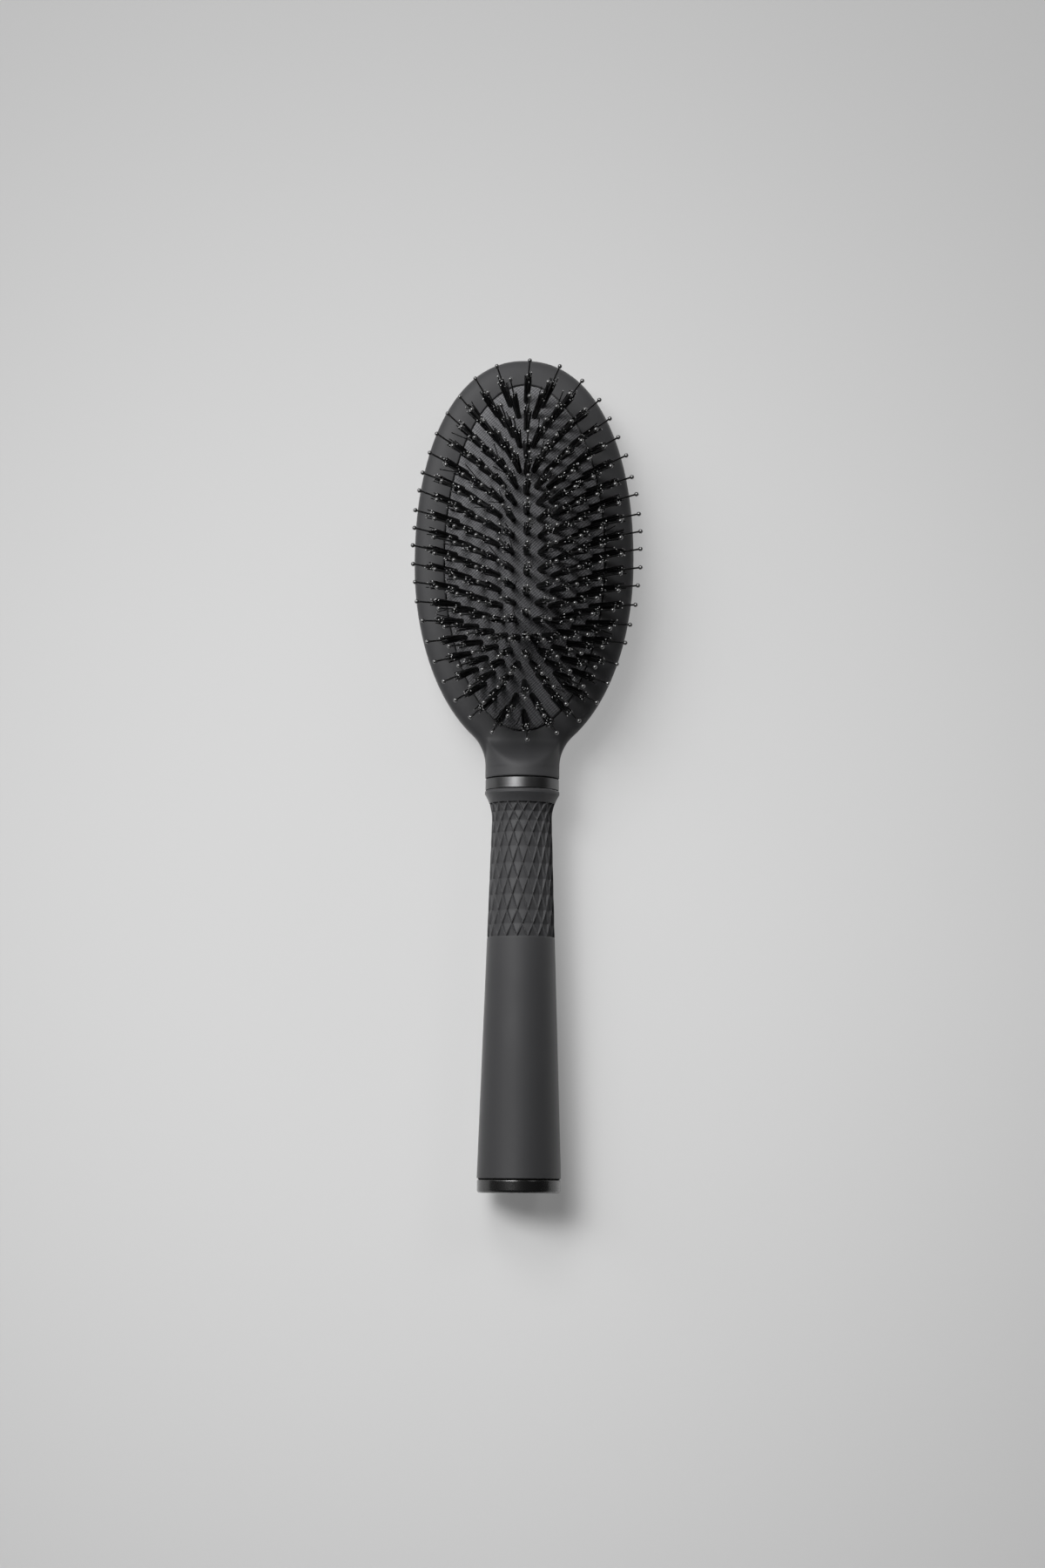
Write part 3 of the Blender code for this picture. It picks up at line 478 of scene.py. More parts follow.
def scoop_share(from_butt):
    """0 on the face, rising very smoothly to 1 on the neck."""
    share = min(1.0, max(0.0, (from_butt - SCOOP_START) / (SCOOP_END - SCOOP_START)))
    return share ** 3 * (10 - 15 * share + 6 * share ** 2)


def top_height(across, from_butt):
    """Heights of the whole top over the handle's axis, at places across that start in the middle."""
    crown = crown_height(across, from_butt) * (1 - smooth_share(FILLET_CENTRE, SCOOP_END, from_butt))
    round_top = np.sqrt(np.clip(NECK_RADIUS ** 2 - across ** 2, 0, None))
    middle = FACE_HEIGHT - AXIS_HEIGHT + (NECK_RADIUS + AXIS_HEIGHT - FACE_HEIGHT) * scoop_share(from_butt)
    rise = max(0.0, middle ** CROWN_JOIN - crown[0] ** CROWN_JOIN) ** (1 / CROWN_JOIN)
    if from_butt >= SCOOP_START or rise == 0.0:
        return crown
    if rise < NEARLY_FULL * NECK_RADIUS:
        scoop = rise / (1 - (rise / NECK_RADIUS) ** SCOOP_JOIN) ** (1 / SCOOP_JOIN)
        round_top = round_top * scoop / (round_top ** SCOOP_JOIN + scoop ** SCOOP_JOIN) ** (1 / SCOOP_JOIN)
    return (crown ** CROWN_JOIN + round_top ** CROWN_JOIN) ** (1 / CROWN_JOIN)


print("the outline is traced at", len(outline_places), "places")


# %% Cross-sections of the head
BACK_LAND_SHARE = 0.38
TOP_COLUMNS = 28
BACK_COLUMNS = 20


def head_section(from_butt):
    """A ring across the head or neck, from the middle of its top."""
    half_width = head_half_width(from_butt)
    below = AXIS_HEIGHT - head_back(from_butt)
    land = BACK_LAND_SHARE * half_width * (1 - smooth_share(BACK_LAND_END, FILLET_CENTRE, from_butt))
    across = half_width * np.sin(np.linspace(0, math.pi / 2, TOP_COLUMNS + 1))
    heights = top_height(across, from_butt)
    heights[-1] = 0.0
    side = list(zip(across.tolist(), heights.tolist()))
    for step in range(1, BACK_COLUMNS + 1):
        turn = math.pi / 2 * step / BACK_COLUMNS
        side.append((land + (half_width - land) * math.cos(turn), -below * math.sin(turn)))
    side.append((0.0, -below))
    mirrored = [(-across, height) for across, height in reversed(side[1:-1])]
    return [(across, along(from_butt), AXIS_HEIGHT + height) for across, height in side + mirrored]


NECK_SECTION = head_section(SCOOP_END)
print("a cross-section has", len(NECK_SECTION), "points")

# %% [markdown]
# Below the neck the same moulding goes on inside the handle: a round spigot that the collar sits on, and a
# slim tang with a bore for the screw. They don't show, but the brush can be taken apart there.
# They could be a mesh of their own. Rings that run on from the neck keep the moulding in one closed skin.

# %% Head with its tang
SPIGOT_RADIUS = 7.1 * MM
SPIGOT_END = 118.85 * MM
TANG_RADIUS = 4.3 * MM
TANG_END = 94.55 * MM
TANG_EDGE = 0.6 * MM
SCREW_BORE = 1.8 * MM
SCREW_BORE_END = 103.55 * MM
NECK_EDGE = 0.25 * MM
NECK_STEPS = 4
SCOOP_STEPS = 48
PADDLE_STEPS = 34
TIP_STEPS = 40
TIP_CLOSING = 0.02


def spread(first, last, count):
    """Evenly spread places after the first, up to the last."""
    return [first + (last - first) * step / count for step in range(1, count + 1)]


def neck_ring(from_butt, radius):
    """A round ring with as many points as a section of the head."""
    ring = []
    for x, _, z in NECK_SECTION:
        scale = radius / math.hypot(x, z - AXIS_HEIGHT)
        ring.append((x * scale, along(from_butt), AXIS_HEIGHT + (z - AXIS_HEIGHT) * scale))
    return ring


tang = [(SCREW_BORE_END, SCREW_BORE), (TANG_END, SCREW_BORE), (TANG_END, TANG_RADIUS - TANG_EDGE),
        (TANG_END + TANG_EDGE, TANG_RADIUS), (SPIGOT_END, TANG_RADIUS), (SPIGOT_END, SPIGOT_RADIUS),
        (NECK_START, SPIGOT_RADIUS), (NECK_START, NECK_RADIUS - NECK_EDGE)]
tang += [(NECK_START + NECK_EDGE * (1 - math.cos(turn)), NECK_RADIUS - NECK_EDGE * (1 - math.sin(turn)))
         for turn in np.radians([30, 60, 90])]
tang += [(place, NECK_RADIUS) for place in spread(NECK_START + NECK_EDGE, SCOOP_END, NECK_STEPS)]
head_places = spread(SCOOP_END, SCOOP_START, SCOOP_STEPS) + spread(SCOOP_START, HEAD_WIDEST, PADDLE_STEPS)
for step in range(1, TIP_STEPS):
    share = math.sin(math.pi / 2 * step / TIP_STEPS)
    head_places.append(HEAD_WIDEST + (OVERALL - HEAD_WIDEST) * share)
head_rings = [neck_ring(place, radius) for place, radius in tang]
head_rings += [head_section(place) for place in head_places]
head_rings.append([(TIP_CLOSING * x, along(OVERALL), AXIS_HEIGHT + TIP_CLOSING * (z - AXIS_HEIGHT))
                   for x, _, z in head_rings[-1]])
head = add_piece(skin("head", head_rings), head_paint, "brush_body", "head_plastic", "head_body")

# %% [markdown]
# The cushion sits in an oval pocket. The pocket is cut with a Boolean, whose cutter flares at the top, so
# that the mouth of the pocket gets a small rounded edge instead of a knife edge.

# %% Pocket in the head
CUSHION_HALF_WIDTH = 24.05 * MM
CUSHION_HALF_LENGTH = 52.25 * MM
CUSHION_MIDDLE = along(188.75 * MM)
MOUTH_ROUNDING = 0.4 * MM
POCKET_FLOOR = 8.2 * MM
LIP_UNDER = FACE_HEIGHT - 1.8 * MM
UNDERCUT = 2.0 * MM
POCKET_COLUMNS = 160


def oval_ring(grow, height, columns):
    """A level oval ring about the cushion's middle, grown outward."""
    ring = []
    for column in range(columns):
        turn = math.tau * column / columns
        across = (CUSHION_HALF_WIDTH + grow) * math.cos(turn)
        ring.append((across, CUSHION_MIDDLE + (CUSHION_HALF_LENGTH + grow) * math.sin(turn), height))
    return ring


def even_shading(piece):
    """Let the large faces beside a rounded edge keep their own shading."""
    weighted = piece.modifiers.new("even_shading", "WEIGHTED_NORMAL")
    weighted.keep_sharp = True


cuts = [(UNDERCUT, POCKET_FLOOR), (UNDERCUT, LIP_UNDER), (0.0, LIP_UNDER)]
for turn in np.radians([0, 20, 40, 60, 76]):
    rise = MOUTH_ROUNDING * math.sin(turn)
    cuts.append((MOUTH_ROUNDING * (1 - math.cos(turn)), FACE_HEIGHT - MOUTH_ROUNDING + rise))
cuts.append((3 * MOUTH_ROUNDING, FACE_HEIGHT + MOUTH_ROUNDING))
pocket_rings = [oval_ring(grow, height, POCKET_COLUMNS) for grow, height in cuts]
cutter = new_object("pocket_cutter", skin("pocket_cutter", pocket_rings))
cut = head.modifiers.new("pocket", "BOOLEAN")
cut.operation = "DIFFERENCE"
cut.solver = "EXACT"
cut.object = cutter
bpy.context.view_layer.update()
hollowed = bpy.data.meshes.new_from_object(head.evaluated_get(bpy.context.evaluated_depsgraph_get()))
head.modifiers.clear()
head.data = hollowed
bpy.data.objects.remove(cutter)
tidy(hollowed)
even_shading(head)
print("head with its pocket has", len(hollowed.polygons), "faces")

# %% [markdown]
# ## The grip
# The sleeve swells towards the butt and flares into a lip at the collar. Between them the moulder sank a
# net of long diamonds: thin ridges cross on the surface, and inside each diamond two flat facets slope down
# to a level crease at its widest row.
# A bump map could draw this, but the net also shows on the outline. So the sleeve gets a fine grid, and one
# function says how deep each of its points is sunk.

# %% Profile of the sleeve
CAP_LENGTH = 4.3 * MM
SEAT_GAP = 0.3 * MM
GRIP_START = 4.34 * MM
GRIP_BUTT_EDGE = 0.1 * MM
GRIP_END = 119.05 * MM
NET_START = 75.4 * MM
NET_END = 115.25 * MM
GRIP_BUTT_RADIUS = 12.45 * MM
GRIP_NET_RADIUS = 10.05 * MM
GRIP_WAIST_RADIUS = 8.9 * MM
GRIP_LIP_RADIUS = 11.1 * MM
LIP_LAND = 1.1 * MM
LIP_ROUNDING = 0.55 * MM
FLARE_RADIUS = 13.8 * MM
FLARE_RUN = math.sqrt(FLARE_RADIUS ** 2 - (FLARE_RADIUS - GRIP_LIP_RADIUS + GRIP_WAIST_RADIUS) ** 2)
FLARE_START = GRIP_END - LIP_LAND - FLARE_RUN


def sleeve_radius(from_butt):
    """Outer radius of the sleeve without its net."""
    if from_butt <= NET_START:
        share = (from_butt - CAP_LENGTH) / (NET_START - CAP_LENGTH)
        return GRIP_BUTT_RADIUS + (GRIP_NET_RADIUS - GRIP_BUTT_RADIUS) * share
    if from_butt <= FLARE_START:
        share = (from_butt - NET_START) / (FLARE_START - NET_START)
        return GRIP_NET_RADIUS + (GRIP_WAIST_RADIUS - GRIP_NET_RADIUS) * share
    run = min(from_butt - FLARE_START, FLARE_RUN)
    return GRIP_WAIST_RADIUS + FLARE_RADIUS - math.sqrt(FLARE_RADIUS ** 2 - run ** 2)


print("the lip starts to flare %.1f mm from the butt" % (FLARE_START / MM))


# %% The net of diamonds
DIAMONDS_AROUND = 19
NET_DEPTH = 0.58 * MM
NET_FLOOR = 0.13 * MM
RIDGE_HALF_WIDTH = 0.03 * MM
RIDGE_SLOPE = 0.30 * MM
ROW_SHARES = np.array([0.092, 0.102, 0.117, 0.117, 0.117, 0.123, 0.107, 0.087, 0.071, 0.067])
row_ends = np.concatenate([[0.0], np.cumsum(ROW_SHARES)])
NET_ROWS = NET_START + (NET_END - NET_START) * row_ends / ROW_SHARES.sum()
STEPS_PER_ROW = 14
GRIP_COLUMNS = 2 * DIAMONDS_AROUND * STEPS_PER_ROW


def sunk(from_butt, turn):
    """How deep the net is sunk at a place and a turn about the axis."""
    row = min(len(NET_ROWS) - 2, int(np.searchsorted(NET_ROWS, from_butt, side="right")) - 1)
    height = NET_ROWS[row + 1] - NET_ROWS[row]
    up_row = (from_butt - NET_ROWS[row]) / height
    halves = 2 * DIAMONDS_AROUND * turn / math.tau
    from_crossing = abs((halves + row + 1) % 2 - 1)
    depth = 1 - up_row if from_crossing > up_row else up_row
    half_pitch = math.pi * sleeve_radius(from_butt) / DIAMONDS_AROUND
    slant = height / math.hypot(height, half_pitch)
    from_ridge = abs(from_crossing - up_row) * half_pitch * slant
    beside_ridge = smooth_share(RIDGE_HALF_WIDTH, RIDGE_HALF_WIDTH + RIDGE_SLOPE, from_ridge)
    return (NET_FLOOR + NET_DEPTH * depth) * beside_ridge


def net_ring(from_butt):
    """A ring of the sleeve with the net sunk into it."""
    ring = []
    radius = sleeve_radius(from_butt)
    for column in range(GRIP_COLUMNS):
        turn = math.tau * column / GRIP_COLUMNS
        reach = radius - sunk(from_butt, turn)
        ring.append((reach * math.sin(turn), along(from_butt), AXIS_HEIGHT - reach * math.cos(turn)))
    return ring


print("the net has", len(ROW_SHARES), "rows of", DIAMONDS_AROUND, "diamonds")

# %% Skin the sleeve
CORE_BUTT_RADIUS = 10.1 * MM
CORE_TOP_RADIUS = 7.4 * MM
SWELL_START = GRIP_START + GRIP_BUTT_EDGE
SWELL_STEPS = 14
NET_STEP = 0.04 * MM
NET_BORDER = 0.5 * MM
SWELL_END = NET_START - NET_BORDER
FLARE_STEPS = 10


def arc(centre, radius, first, last, steps):
    """Places and radii on part of a circle, for a profile."""
    points = []
    for step in range(steps + 1):
        turn = math.radians(first + (last - first) * step / steps)
        points.append((centre[0] + radius * math.cos(turn), centre[1] + radius * math.sin(turn)))
    return points


plain = arc((SWELL_START, GRIP_BUTT_RADIUS - GRIP_BUTT_EDGE), GRIP_BUTT_EDGE, 180, 90, steps=4)
plain += [(place, sleeve_radius(place)) for place in spread(SWELL_START, SWELL_END, SWELL_STEPS)]
for turn in np.radians([15, 30, 45, 60, 75, 90]):
    radius = sleeve_radius(NET_START) - NET_FLOOR * (1 - math.cos(turn))
    plain.append((NET_START - NET_BORDER * (1 - math.sin(turn)), radius))
sleeve_rings = [round_ring(place, radius, GRIP_COLUMNS) for place, radius in plain]
net_first = len(sleeve_rings)
net_places = []
for near, far in zip(NET_ROWS[:-1], NET_ROWS[1:]):
    net_places += spread(near, far, STEPS_PER_ROW)
sleeve_rings += [net_ring(place) for place in [NET_START + NET_STEP] + net_places[:-1]]
sleeve_rings.append(net_ring(NET_END - NET_STEP))
net_last = len(sleeve_rings) - 1
flare = [NET_END, NET_END + NET_STEP] + spread(NET_END, GRIP_END - LIP_LAND, FLARE_STEPS)
outside = [(place, sleeve_radius(place)) for place in flare]
outside += arc((GRIP_END - LIP_ROUNDING, GRIP_LIP_RADIUS - LIP_ROUNDING), LIP_ROUNDING, 90, 15, steps=6)
inside = [(GRIP_END, CORE_TOP_RADIUS), (GRIP_START, CORE_BUTT_RADIUS)]
sleeve_rings += [round_ring(place, radius, GRIP_COLUMNS) for place, radius in outside + inside]


def net_diagonal(ring, column):
    """The diagonal that runs along the nearest ridge, for faces of the net."""
    if not net_first <= ring < net_last:
        return None
    return ((ring - net_first) // STEPS_PER_ROW + column // STEPS_PER_ROW) % 2


grip_mesh = skin("grip", sleeve_rings, loop=True, diagonal=net_diagonal)
grip = add_piece(grip_mesh, grip_paint, "brush_body", "grip_soft_touch", "grip_sleeve")
even_shading(grip)

# %% [markdown]
# ## Collar
# A ring of dark brushed metal parts the neck from the grip. It was brushed in a lathe, so its scratches run
# round it. A single noise would give spots. Stretched noise gives the lines: it changes quickly along the
# handle and slowly round it, and it moves the roughness, the colour and a very shallow bump together.

# %% Brushed metal
SCRATCH_WIDTH = 0.09 * MM
SCRATCHES_PER_RADIAN = 0.9
SCRATCH_DEPTH = 0.008 * MM
TARNISH = 6 * MM
COLLAR_START = GRIP_END + 0.14 * MM
COLLAR_END = NECK_START - 0.38 * MM
COLLAR_EDGE = 0.18 * MM
COLLAR_RADIUS = 10.93 * MM
COLLAR_BORE = SPIGOT_RADIUS + SEAT_GAP


def brushed_metal():
    """Dark metal with fine scratches that run round the handle's axis."""
    finish = Finish("brushed_gunmetal", {"Metallic": 1.0})
    x, y, z = finish.parts(finish.place())
    turn = x.math("ARCTAN2", x, z - AXIS_HEIGHT) * SCRATCHES_PER_RADIAN
    strip = finish.node("CombineXYZ", inputs={"X": turn, "Y": y / SCRATCH_WIDTH, "Z": 0.0})
    stretched = {"Vector": strip, "Scale": 1.0, "Detail": 4.0, "Roughness": 0.6}
    scratches = finish.node("TexNoise", inputs=stretched)
    tarnish = finish.noise(TARNISH)
    finish.surface({
        "Base Color": finish.mix(scratches * 0.7 + tarnish * 0.3, grey(80), grey(116, 1.0)),
        "Roughness": 0.29 + scratches * 0.14,
        "Normal": finish.bump(scratches, SCRATCH_DEPTH, strength=0.6),
    })
    return finish


edge_middle = COLLAR_RADIUS - COLLAR_EDGE
collar_profile = arc((COLLAR_START + COLLAR_EDGE, edge_middle), COLLAR_EDGE, 180, 90, steps=5)
collar_profile += arc((COLLAR_END - COLLAR_EDGE, edge_middle), COLLAR_EDGE, 90, 0, steps=5)
collar_profile += [(COLLAR_END, COLLAR_BORE), (COLLAR_START, COLLAR_BORE)]
collar_mesh = turned_mesh("collar", collar_profile, loop=True)
collar = add_piece(collar_mesh, brushed_metal(), "brush_body", "collar_metal", "collar_ring")
even_shading(collar)

# %% [markdown]
# ## Cap
# A gloss black cap with a slightly dished end closes the butt. It is moulded bright, with only faint hair
# marks. One low roughness would do from afar, but close up it would look like glass. A clear coat over a
# rougher black, both a little uneven, keeps the reflections soft at their edges.

# %% Gloss cap
HAIR_MARKS = 0.5 * MM
HAIR_DEPTH = 0.003 * MM
GLOSS_CLOUDS = 8 * MM
CAP_RADIUS = 12.35 * MM
CAP_ROUNDING = 0.9 * MM
CAP_TOP = 4.05 * MM
CAP_TOP_EDGE = 0.6 * MM
CAP_SPIGOT = 6.7 * MM
CAP_SPIGOT_LENGTH = 7 * MM
DISH_RADIUS = 9.2 * MM
DISH_DEPTH = 0.25 * MM


def gloss_black():
    """Bright moulded black with faint hair marks."""
    finish = Finish("gloss_black", {"Coat Roughness": 0.05, "IOR": 1.5})
    hair = finish.noise(HAIR_MARKS, detail=5.0, roughness=0.7)
    cloud = finish.noise(GLOSS_CLOUDS)
    finish.surface({
        "Base Color": finish.mix(cloud, grey(24), grey(30)),
        "Roughness": 0.23 + hair * 0.08,
        "Coat Weight": 0.6 + cloud * 0.2,
        "Normal": finish.bump(hair, HAIR_DEPTH, strength=0.4),
    })
    return finish


cap_profile = [(DISH_DEPTH, DISH_RADIUS - 2 * DISH_DEPTH), (DISH_DEPTH / 2, DISH_RADIUS - DISH_DEPTH),
               (0.0, DISH_RADIUS)]
cap_profile += arc((CAP_ROUNDING, CAP_RADIUS - CAP_ROUNDING), CAP_ROUNDING, 180, 90, steps=10)
cap_profile += arc((CAP_TOP - CAP_TOP_EDGE, CAP_RADIUS - CAP_TOP_EDGE), CAP_TOP_EDGE, 90, 50, steps=8)
cap_profile += [(CAP_TOP, CAP_RADIUS - CAP_TOP_EDGE), (CAP_TOP, CAP_SPIGOT)]
cap_profile.append((CAP_LENGTH + CAP_SPIGOT_LENGTH, CAP_SPIGOT))
cap = add_piece(turned_mesh("cap", cap_profile), gloss_black(), "brush_body", "cap_gloss", "end_cap")
even_shading(cap)

# %% [markdown]
# ## Dark rings in the joints
# Thin dull black rings fill the two joints, at the cap and at the neck. They are painted shade: they stand
# for the shade deep in the gaps and draw the crisp dark lines there, right out to the edges. The gaps could
# be left open, but then the pale table would shine through them at the outline.

# %% Dark rings in the joints
GAP_SHADE_GRAIN = 0.3 * MM
GAP_SHADE_GRAIN_DEPTH = 0.01 * MM
CAP_GAP_SHADE_INSET = 0.25 * MM
NECK_GAP_SHADE_INSET = 0.22 * MM
GAP_SHADE_EDGE = 0.06 * MM


def painted_gap_shade():
    """Dull black with a dusty grain, painted shade for the joints."""
    finish = Finish("painted_gap_shade_black", {"Specular IOR Level": 0.15})
    dust = finish.noise(GAP_SHADE_GRAIN, detail=3.0)
    finish.surface({
        "Base Color": finish.mix(dust, grey(6), grey(14)),
        "Roughness": 0.8 + dust * 0.15,
        "Normal": finish.bump(dust, GAP_SHADE_GRAIN_DEPTH),
    })
    return finish


gap_shade_finish = painted_gap_shade()
for name, start, end, radius, bore in (
        ("cap_gap_shade", CAP_TOP, GRIP_START, CAP_RADIUS - CAP_GAP_SHADE_INSET, CORE_BUTT_RADIUS),
        ("neck_gap_shade", COLLAR_END, NECK_START, COLLAR_RADIUS - NECK_GAP_SHADE_INSET, COLLAR_BORE)):
    profile = [(start, radius - GAP_SHADE_EDGE), (start + GAP_SHADE_EDGE, radius), (end - GAP_SHADE_EDGE, radius),
               (end, radius - GAP_SHADE_EDGE), (end, bore), (start, bore)]
    add_piece(turned_mesh(name, profile, loop=True), gap_shade_finish, "brush_body", "cushion_rubber")

# %% [markdown]
# ## What the grip hides
# A hard core and a screw hold the handle together. They don't show in a picture, but they come apart with
# the brush, so they keep their CAD shapes and get honest finishes: dull moulded plastic and bright steel.

# %% Core and screw
core_plastic = Finish("moulded_core", {})
core_grain = core_plastic.noise(0.4 * MM, detail=4.0)
core_plastic.surface({
    "Base Color": core_plastic.mix(core_plastic.noise(10 * MM), grey(34), grey(42)),
    "Roughness": 0.45 + core_grain * 0.15,
    "Normal": core_plastic.bump(core_grain, 0.02 * MM, strength=0.4),
})
screw_steel = Finish("bright_steel", {"Metallic": 1.0})
screw_marks = screw_steel.noise(0.3 * MM, detail=4.0)
screw_steel.surface({
    "Base Color": screw_steel.mix(screw_marks, grey(176), grey(206)),
    "Roughness": 0.22 + screw_marks * 0.18,
    "Normal": screw_steel.bump(screw_marks, 0.005 * MM, strength=0.5),
})
for node, finish, slot in (("handle_core", core_plastic, "core_plastic"),
                           ("tang_screw", screw_steel, "screw_steel")):
    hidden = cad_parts[node]
    hidden.data.materials.clear()
    hidden.data.materials.append(finish.material)
    print(node, "wears", finish.material.name)

# %% [markdown]
# ## Where the tufts stand
# The tufts stand on five ovals, one inside another, and on a short line in the middle. Each oval has a
# multiple of four tufts, and they are spaced by the length of the oval's edge, not by its angle, because an
# even angle would crowd them at the ends. Every other oval is shifted by half a space.

# %% Tuft places
CUSHION_RISE = 9.0 * MM
CUSHION_EDGE_HEIGHT = FACE_HEIGHT + 0.5 * MM
RING_COUNTS = (44, 40, 36, 32, 24)
LINE_COUNT = 9
LINE_SLACK = 0.6 * MM
OUTER_HALF_WIDTH = CUSHION_HALF_WIDTH - 3.3 * MM
OUTER_HALF_LENGTH = CUSHION_HALF_LENGTH - 5.5 * MM
PITCH_ACROSS = OUTER_HALF_WIDTH / len(RING_COUNTS)
RINGS_SHARE_ALONG = 0.47
PITCH_ALONG = OUTER_HALF_LENGTH * RINGS_SHARE_ALONG / len(RING_COUNTS)


def dome_height(across, along_cushion):
    """Height of the cushion's face over a place measured from the cushion's middle."""
    reach = (across / CUSHION_HALF_WIDTH) ** 2 + (along_cushion / CUSHION_HALF_LENGTH) ** 2
    return CUSHION_EDGE_HEIGHT + CUSHION_RISE * (1 - reach)


def even_turns(half_width, half_length, count, phase):
    """Turns round an oval, evenly spaced along its edge."""
    turns = np.linspace(0, math.tau, SEARCH_TURNS)
    steps = np.hypot(np.diff(half_width * np.cos(turns)), np.diff(half_length * np.sin(turns)))
    lengths = np.concatenate([[0.0], np.cumsum(steps)])
    return np.interp(lengths[-1] * (np.arange(count) + phase) / count, lengths, turns)


def tuft_groups():
    """The name of each group of tufts and the places of its tufts."""
    groups = []
    for number, count in enumerate(RING_COUNTS):
        half_width = OUTER_HALF_WIDTH - number * PITCH_ACROSS
        half_length = OUTER_HALF_LENGTH - number * PITCH_ALONG
        turns = even_turns(half_width, half_length, count, 0.5 if number % 2 else 0.0)
        places = [(half_width * math.cos(turn), half_length * math.sin(turn)) for turn in turns]
        groups.append(("ring_%d" % (number + 1), places))
    reach = OUTER_HALF_LENGTH - len(RING_COUNTS) * PITCH_ALONG - LINE_SLACK
    places = [(0.0, reach * (2 * index / (LINE_COUNT - 1) - 1)) for index in range(LINE_COUNT)]
    groups.append(("line_middle", places))
    return groups


groups = tuft_groups()
sites = [place for _, places in groups for place in places]
print(len(sites), "tufts in", len(groups), "groups")

# %% [markdown]
# ## The cushion
# The cushion is a rubber bladder faced with black ribbed cloth. Air holds it up in a shallow dome, its edge
# turns down into the pocket, and each tuft pulls the cloth in a little round its root.
# Cloth simulation could blow it up, but a tight bladder under a stretched face has no folds. So the dome is
# modelled directly, with a dimple added at every tuft.

# %% Dome of the cushion
DIMPLE_DEPTH = 0.22 * MM
DIMPLE_RADIUS = 1.3 * MM
CLOTH_CLEARANCE = 0.3 * MM
EDGE_TURN = 0.8 * MM
FLANGE_TOP = 14.9 * MM
FLANGE_UNDER = 13.7 * MM
FLANGE_REACH = 1.8 * MM
CUSHION_COLUMNS = 220
DOME_RINGS = 64
DOME_START = 0.004
EDGE_RINGS = 8
EDGE_START = 0.965
site_across, site_along = np.array(sites).T


def cloth_point(share, turn):
    """A point of the cloth, at a share of the way from the middle to the edge."""
    across = share * (CUSHION_HALF_WIDTH - CLOTH_CLEARANCE) * math.cos(turn)
    along_cushion = share * (CUSHION_HALF_LENGTH - CLOTH_CLEARANCE) * math.sin(turn)
    gaps = np.hypot(site_across - across, site_along - along_cushion)
    dimple = DIMPLE_DEPTH * float(np.exp(-(gaps / DIMPLE_RADIUS) ** 2).sum())
    inward = (1 - share) * CUSHION_HALF_WIDTH
    turned_down = EDGE_TURN - math.sqrt(max(0.0, EDGE_TURN ** 2 - max(0.0, EDGE_TURN - inward) ** 2))
    height = dome_height(across, along_cushion) - dimple - turned_down
    return (across, CUSHION_MIDDLE + along_cushion, height)


cloth_rings = []
dome_shares = [DOME_START] + spread(DOME_START, EDGE_START, DOME_RINGS)
for share in dome_shares + spread(EDGE_START, 1.0, EDGE_RINGS):
    cloth_rings.append([cloth_point(share, math.tau * column / CUSHION_COLUMNS)
                        for column in range(CUSHION_COLUMNS)])
for grow, height in ((-CLOTH_CLEARANCE, FLANGE_TOP), (FLANGE_REACH - CLOTH_CLEARANCE, FLANGE_TOP),
                     (FLANGE_REACH - CLOTH_CLEARANCE, FLANGE_UNDER), (-2 * FLANGE_REACH, FLANGE_UNDER)):
    cloth_rings.append(oval_ring(grow, height, CUSHION_COLUMNS))
print("the dome's top is %.1f mm above the table" % (dome_height(0, 0) / MM))

# %% [markdown]
# The facing is woven, with slanting ribs and a fainter thread across them, and the ribs wander a little.
# A picture of cloth could be wrapped round the dome. Two waves on the piece's own place do the same with no
# seam, and they stay crisp at any distance. One draws the ribs, the other breaks them into stitches, and
# fuzz finer than a thread keeps them from looking like ruled lines.

# %% Ribbed cloth
RIB_ANGLE = math.radians(44)
RIB_PITCH = 0.665 * MM
RIB_DEPTH = 0.12 * MM
THREAD_PITCH = 1.1 * MM
WANDER_SIZE = 5 * MM
WANDER = 0.25 * MM
FUZZ = 0.3 * MM
FUZZ_DEPTH = 0.03 * MM


def ribbed_cloth():
    """Charcoal cloth with fine slanting ribs and a fainter cross thread."""
    finish = Finish("ribbed_cloth", {"Specular IOR Level": 0.35,
                                     "Sheen Weight": 0.25, "Sheen Roughness": 0.5})
    x, y = finish.parts(finish.place())[:2]
    wander = finish.noise(WANDER_SIZE, detail=1.0) * WANDER
    across_ribs = x * math.sin(RIB_ANGLE) - y * math.cos(RIB_ANGLE) + wander
    along_ribs = x * math.cos(RIB_ANGLE) + y * math.sin(RIB_ANGLE)
    rib = across_ribs.wave(RIB_PITCH)
    thread = along_ribs.wave(THREAD_PITCH)
    fuzz = finish.noise(FUZZ, detail=4.0, roughness=0.6)
    height = rib * 0.65 + thread ** 0.5 * 0.35
    # The colour follows the height of the weave: partly its own pattern, partly painted shade in the
    # grooves.
    shade = height * 0.55 + fuzz * 0.45
    finish.surface({
        "Base Color": finish.mix(shade, grey(14), grey(128, 3.0)),
        "Roughness": 0.85 - rib * 0.15,
        "Normal": finish.bump(height, RIB_DEPTH, below=finish.bump(fuzz, FUZZ_DEPTH, strength=0.5)),
    })
    return finish


cushion_mesh = skin("cushion", cloth_rings)
cushion = add_piece(cushion_mesh, ribbed_cloth(), "cushion", "cushion_cloth", "cushion_pad")

# %% [markdown]
# ## Pins and bristles
# Each tuft is a bundle of stiff black nylon bristles round one longer pin that ends in a ball. Every pin
# leans outward from the middle of the cushion, and its bristles follow it.
# Hair curves would be quick to grow, but they ride on nothing and export poorly. So every strand is a thin
# mesh tube: rings of a few points, and a rounded end that catches the light. The end is also painted
# pale, a painted glint, so that it shows as a small bright dot.

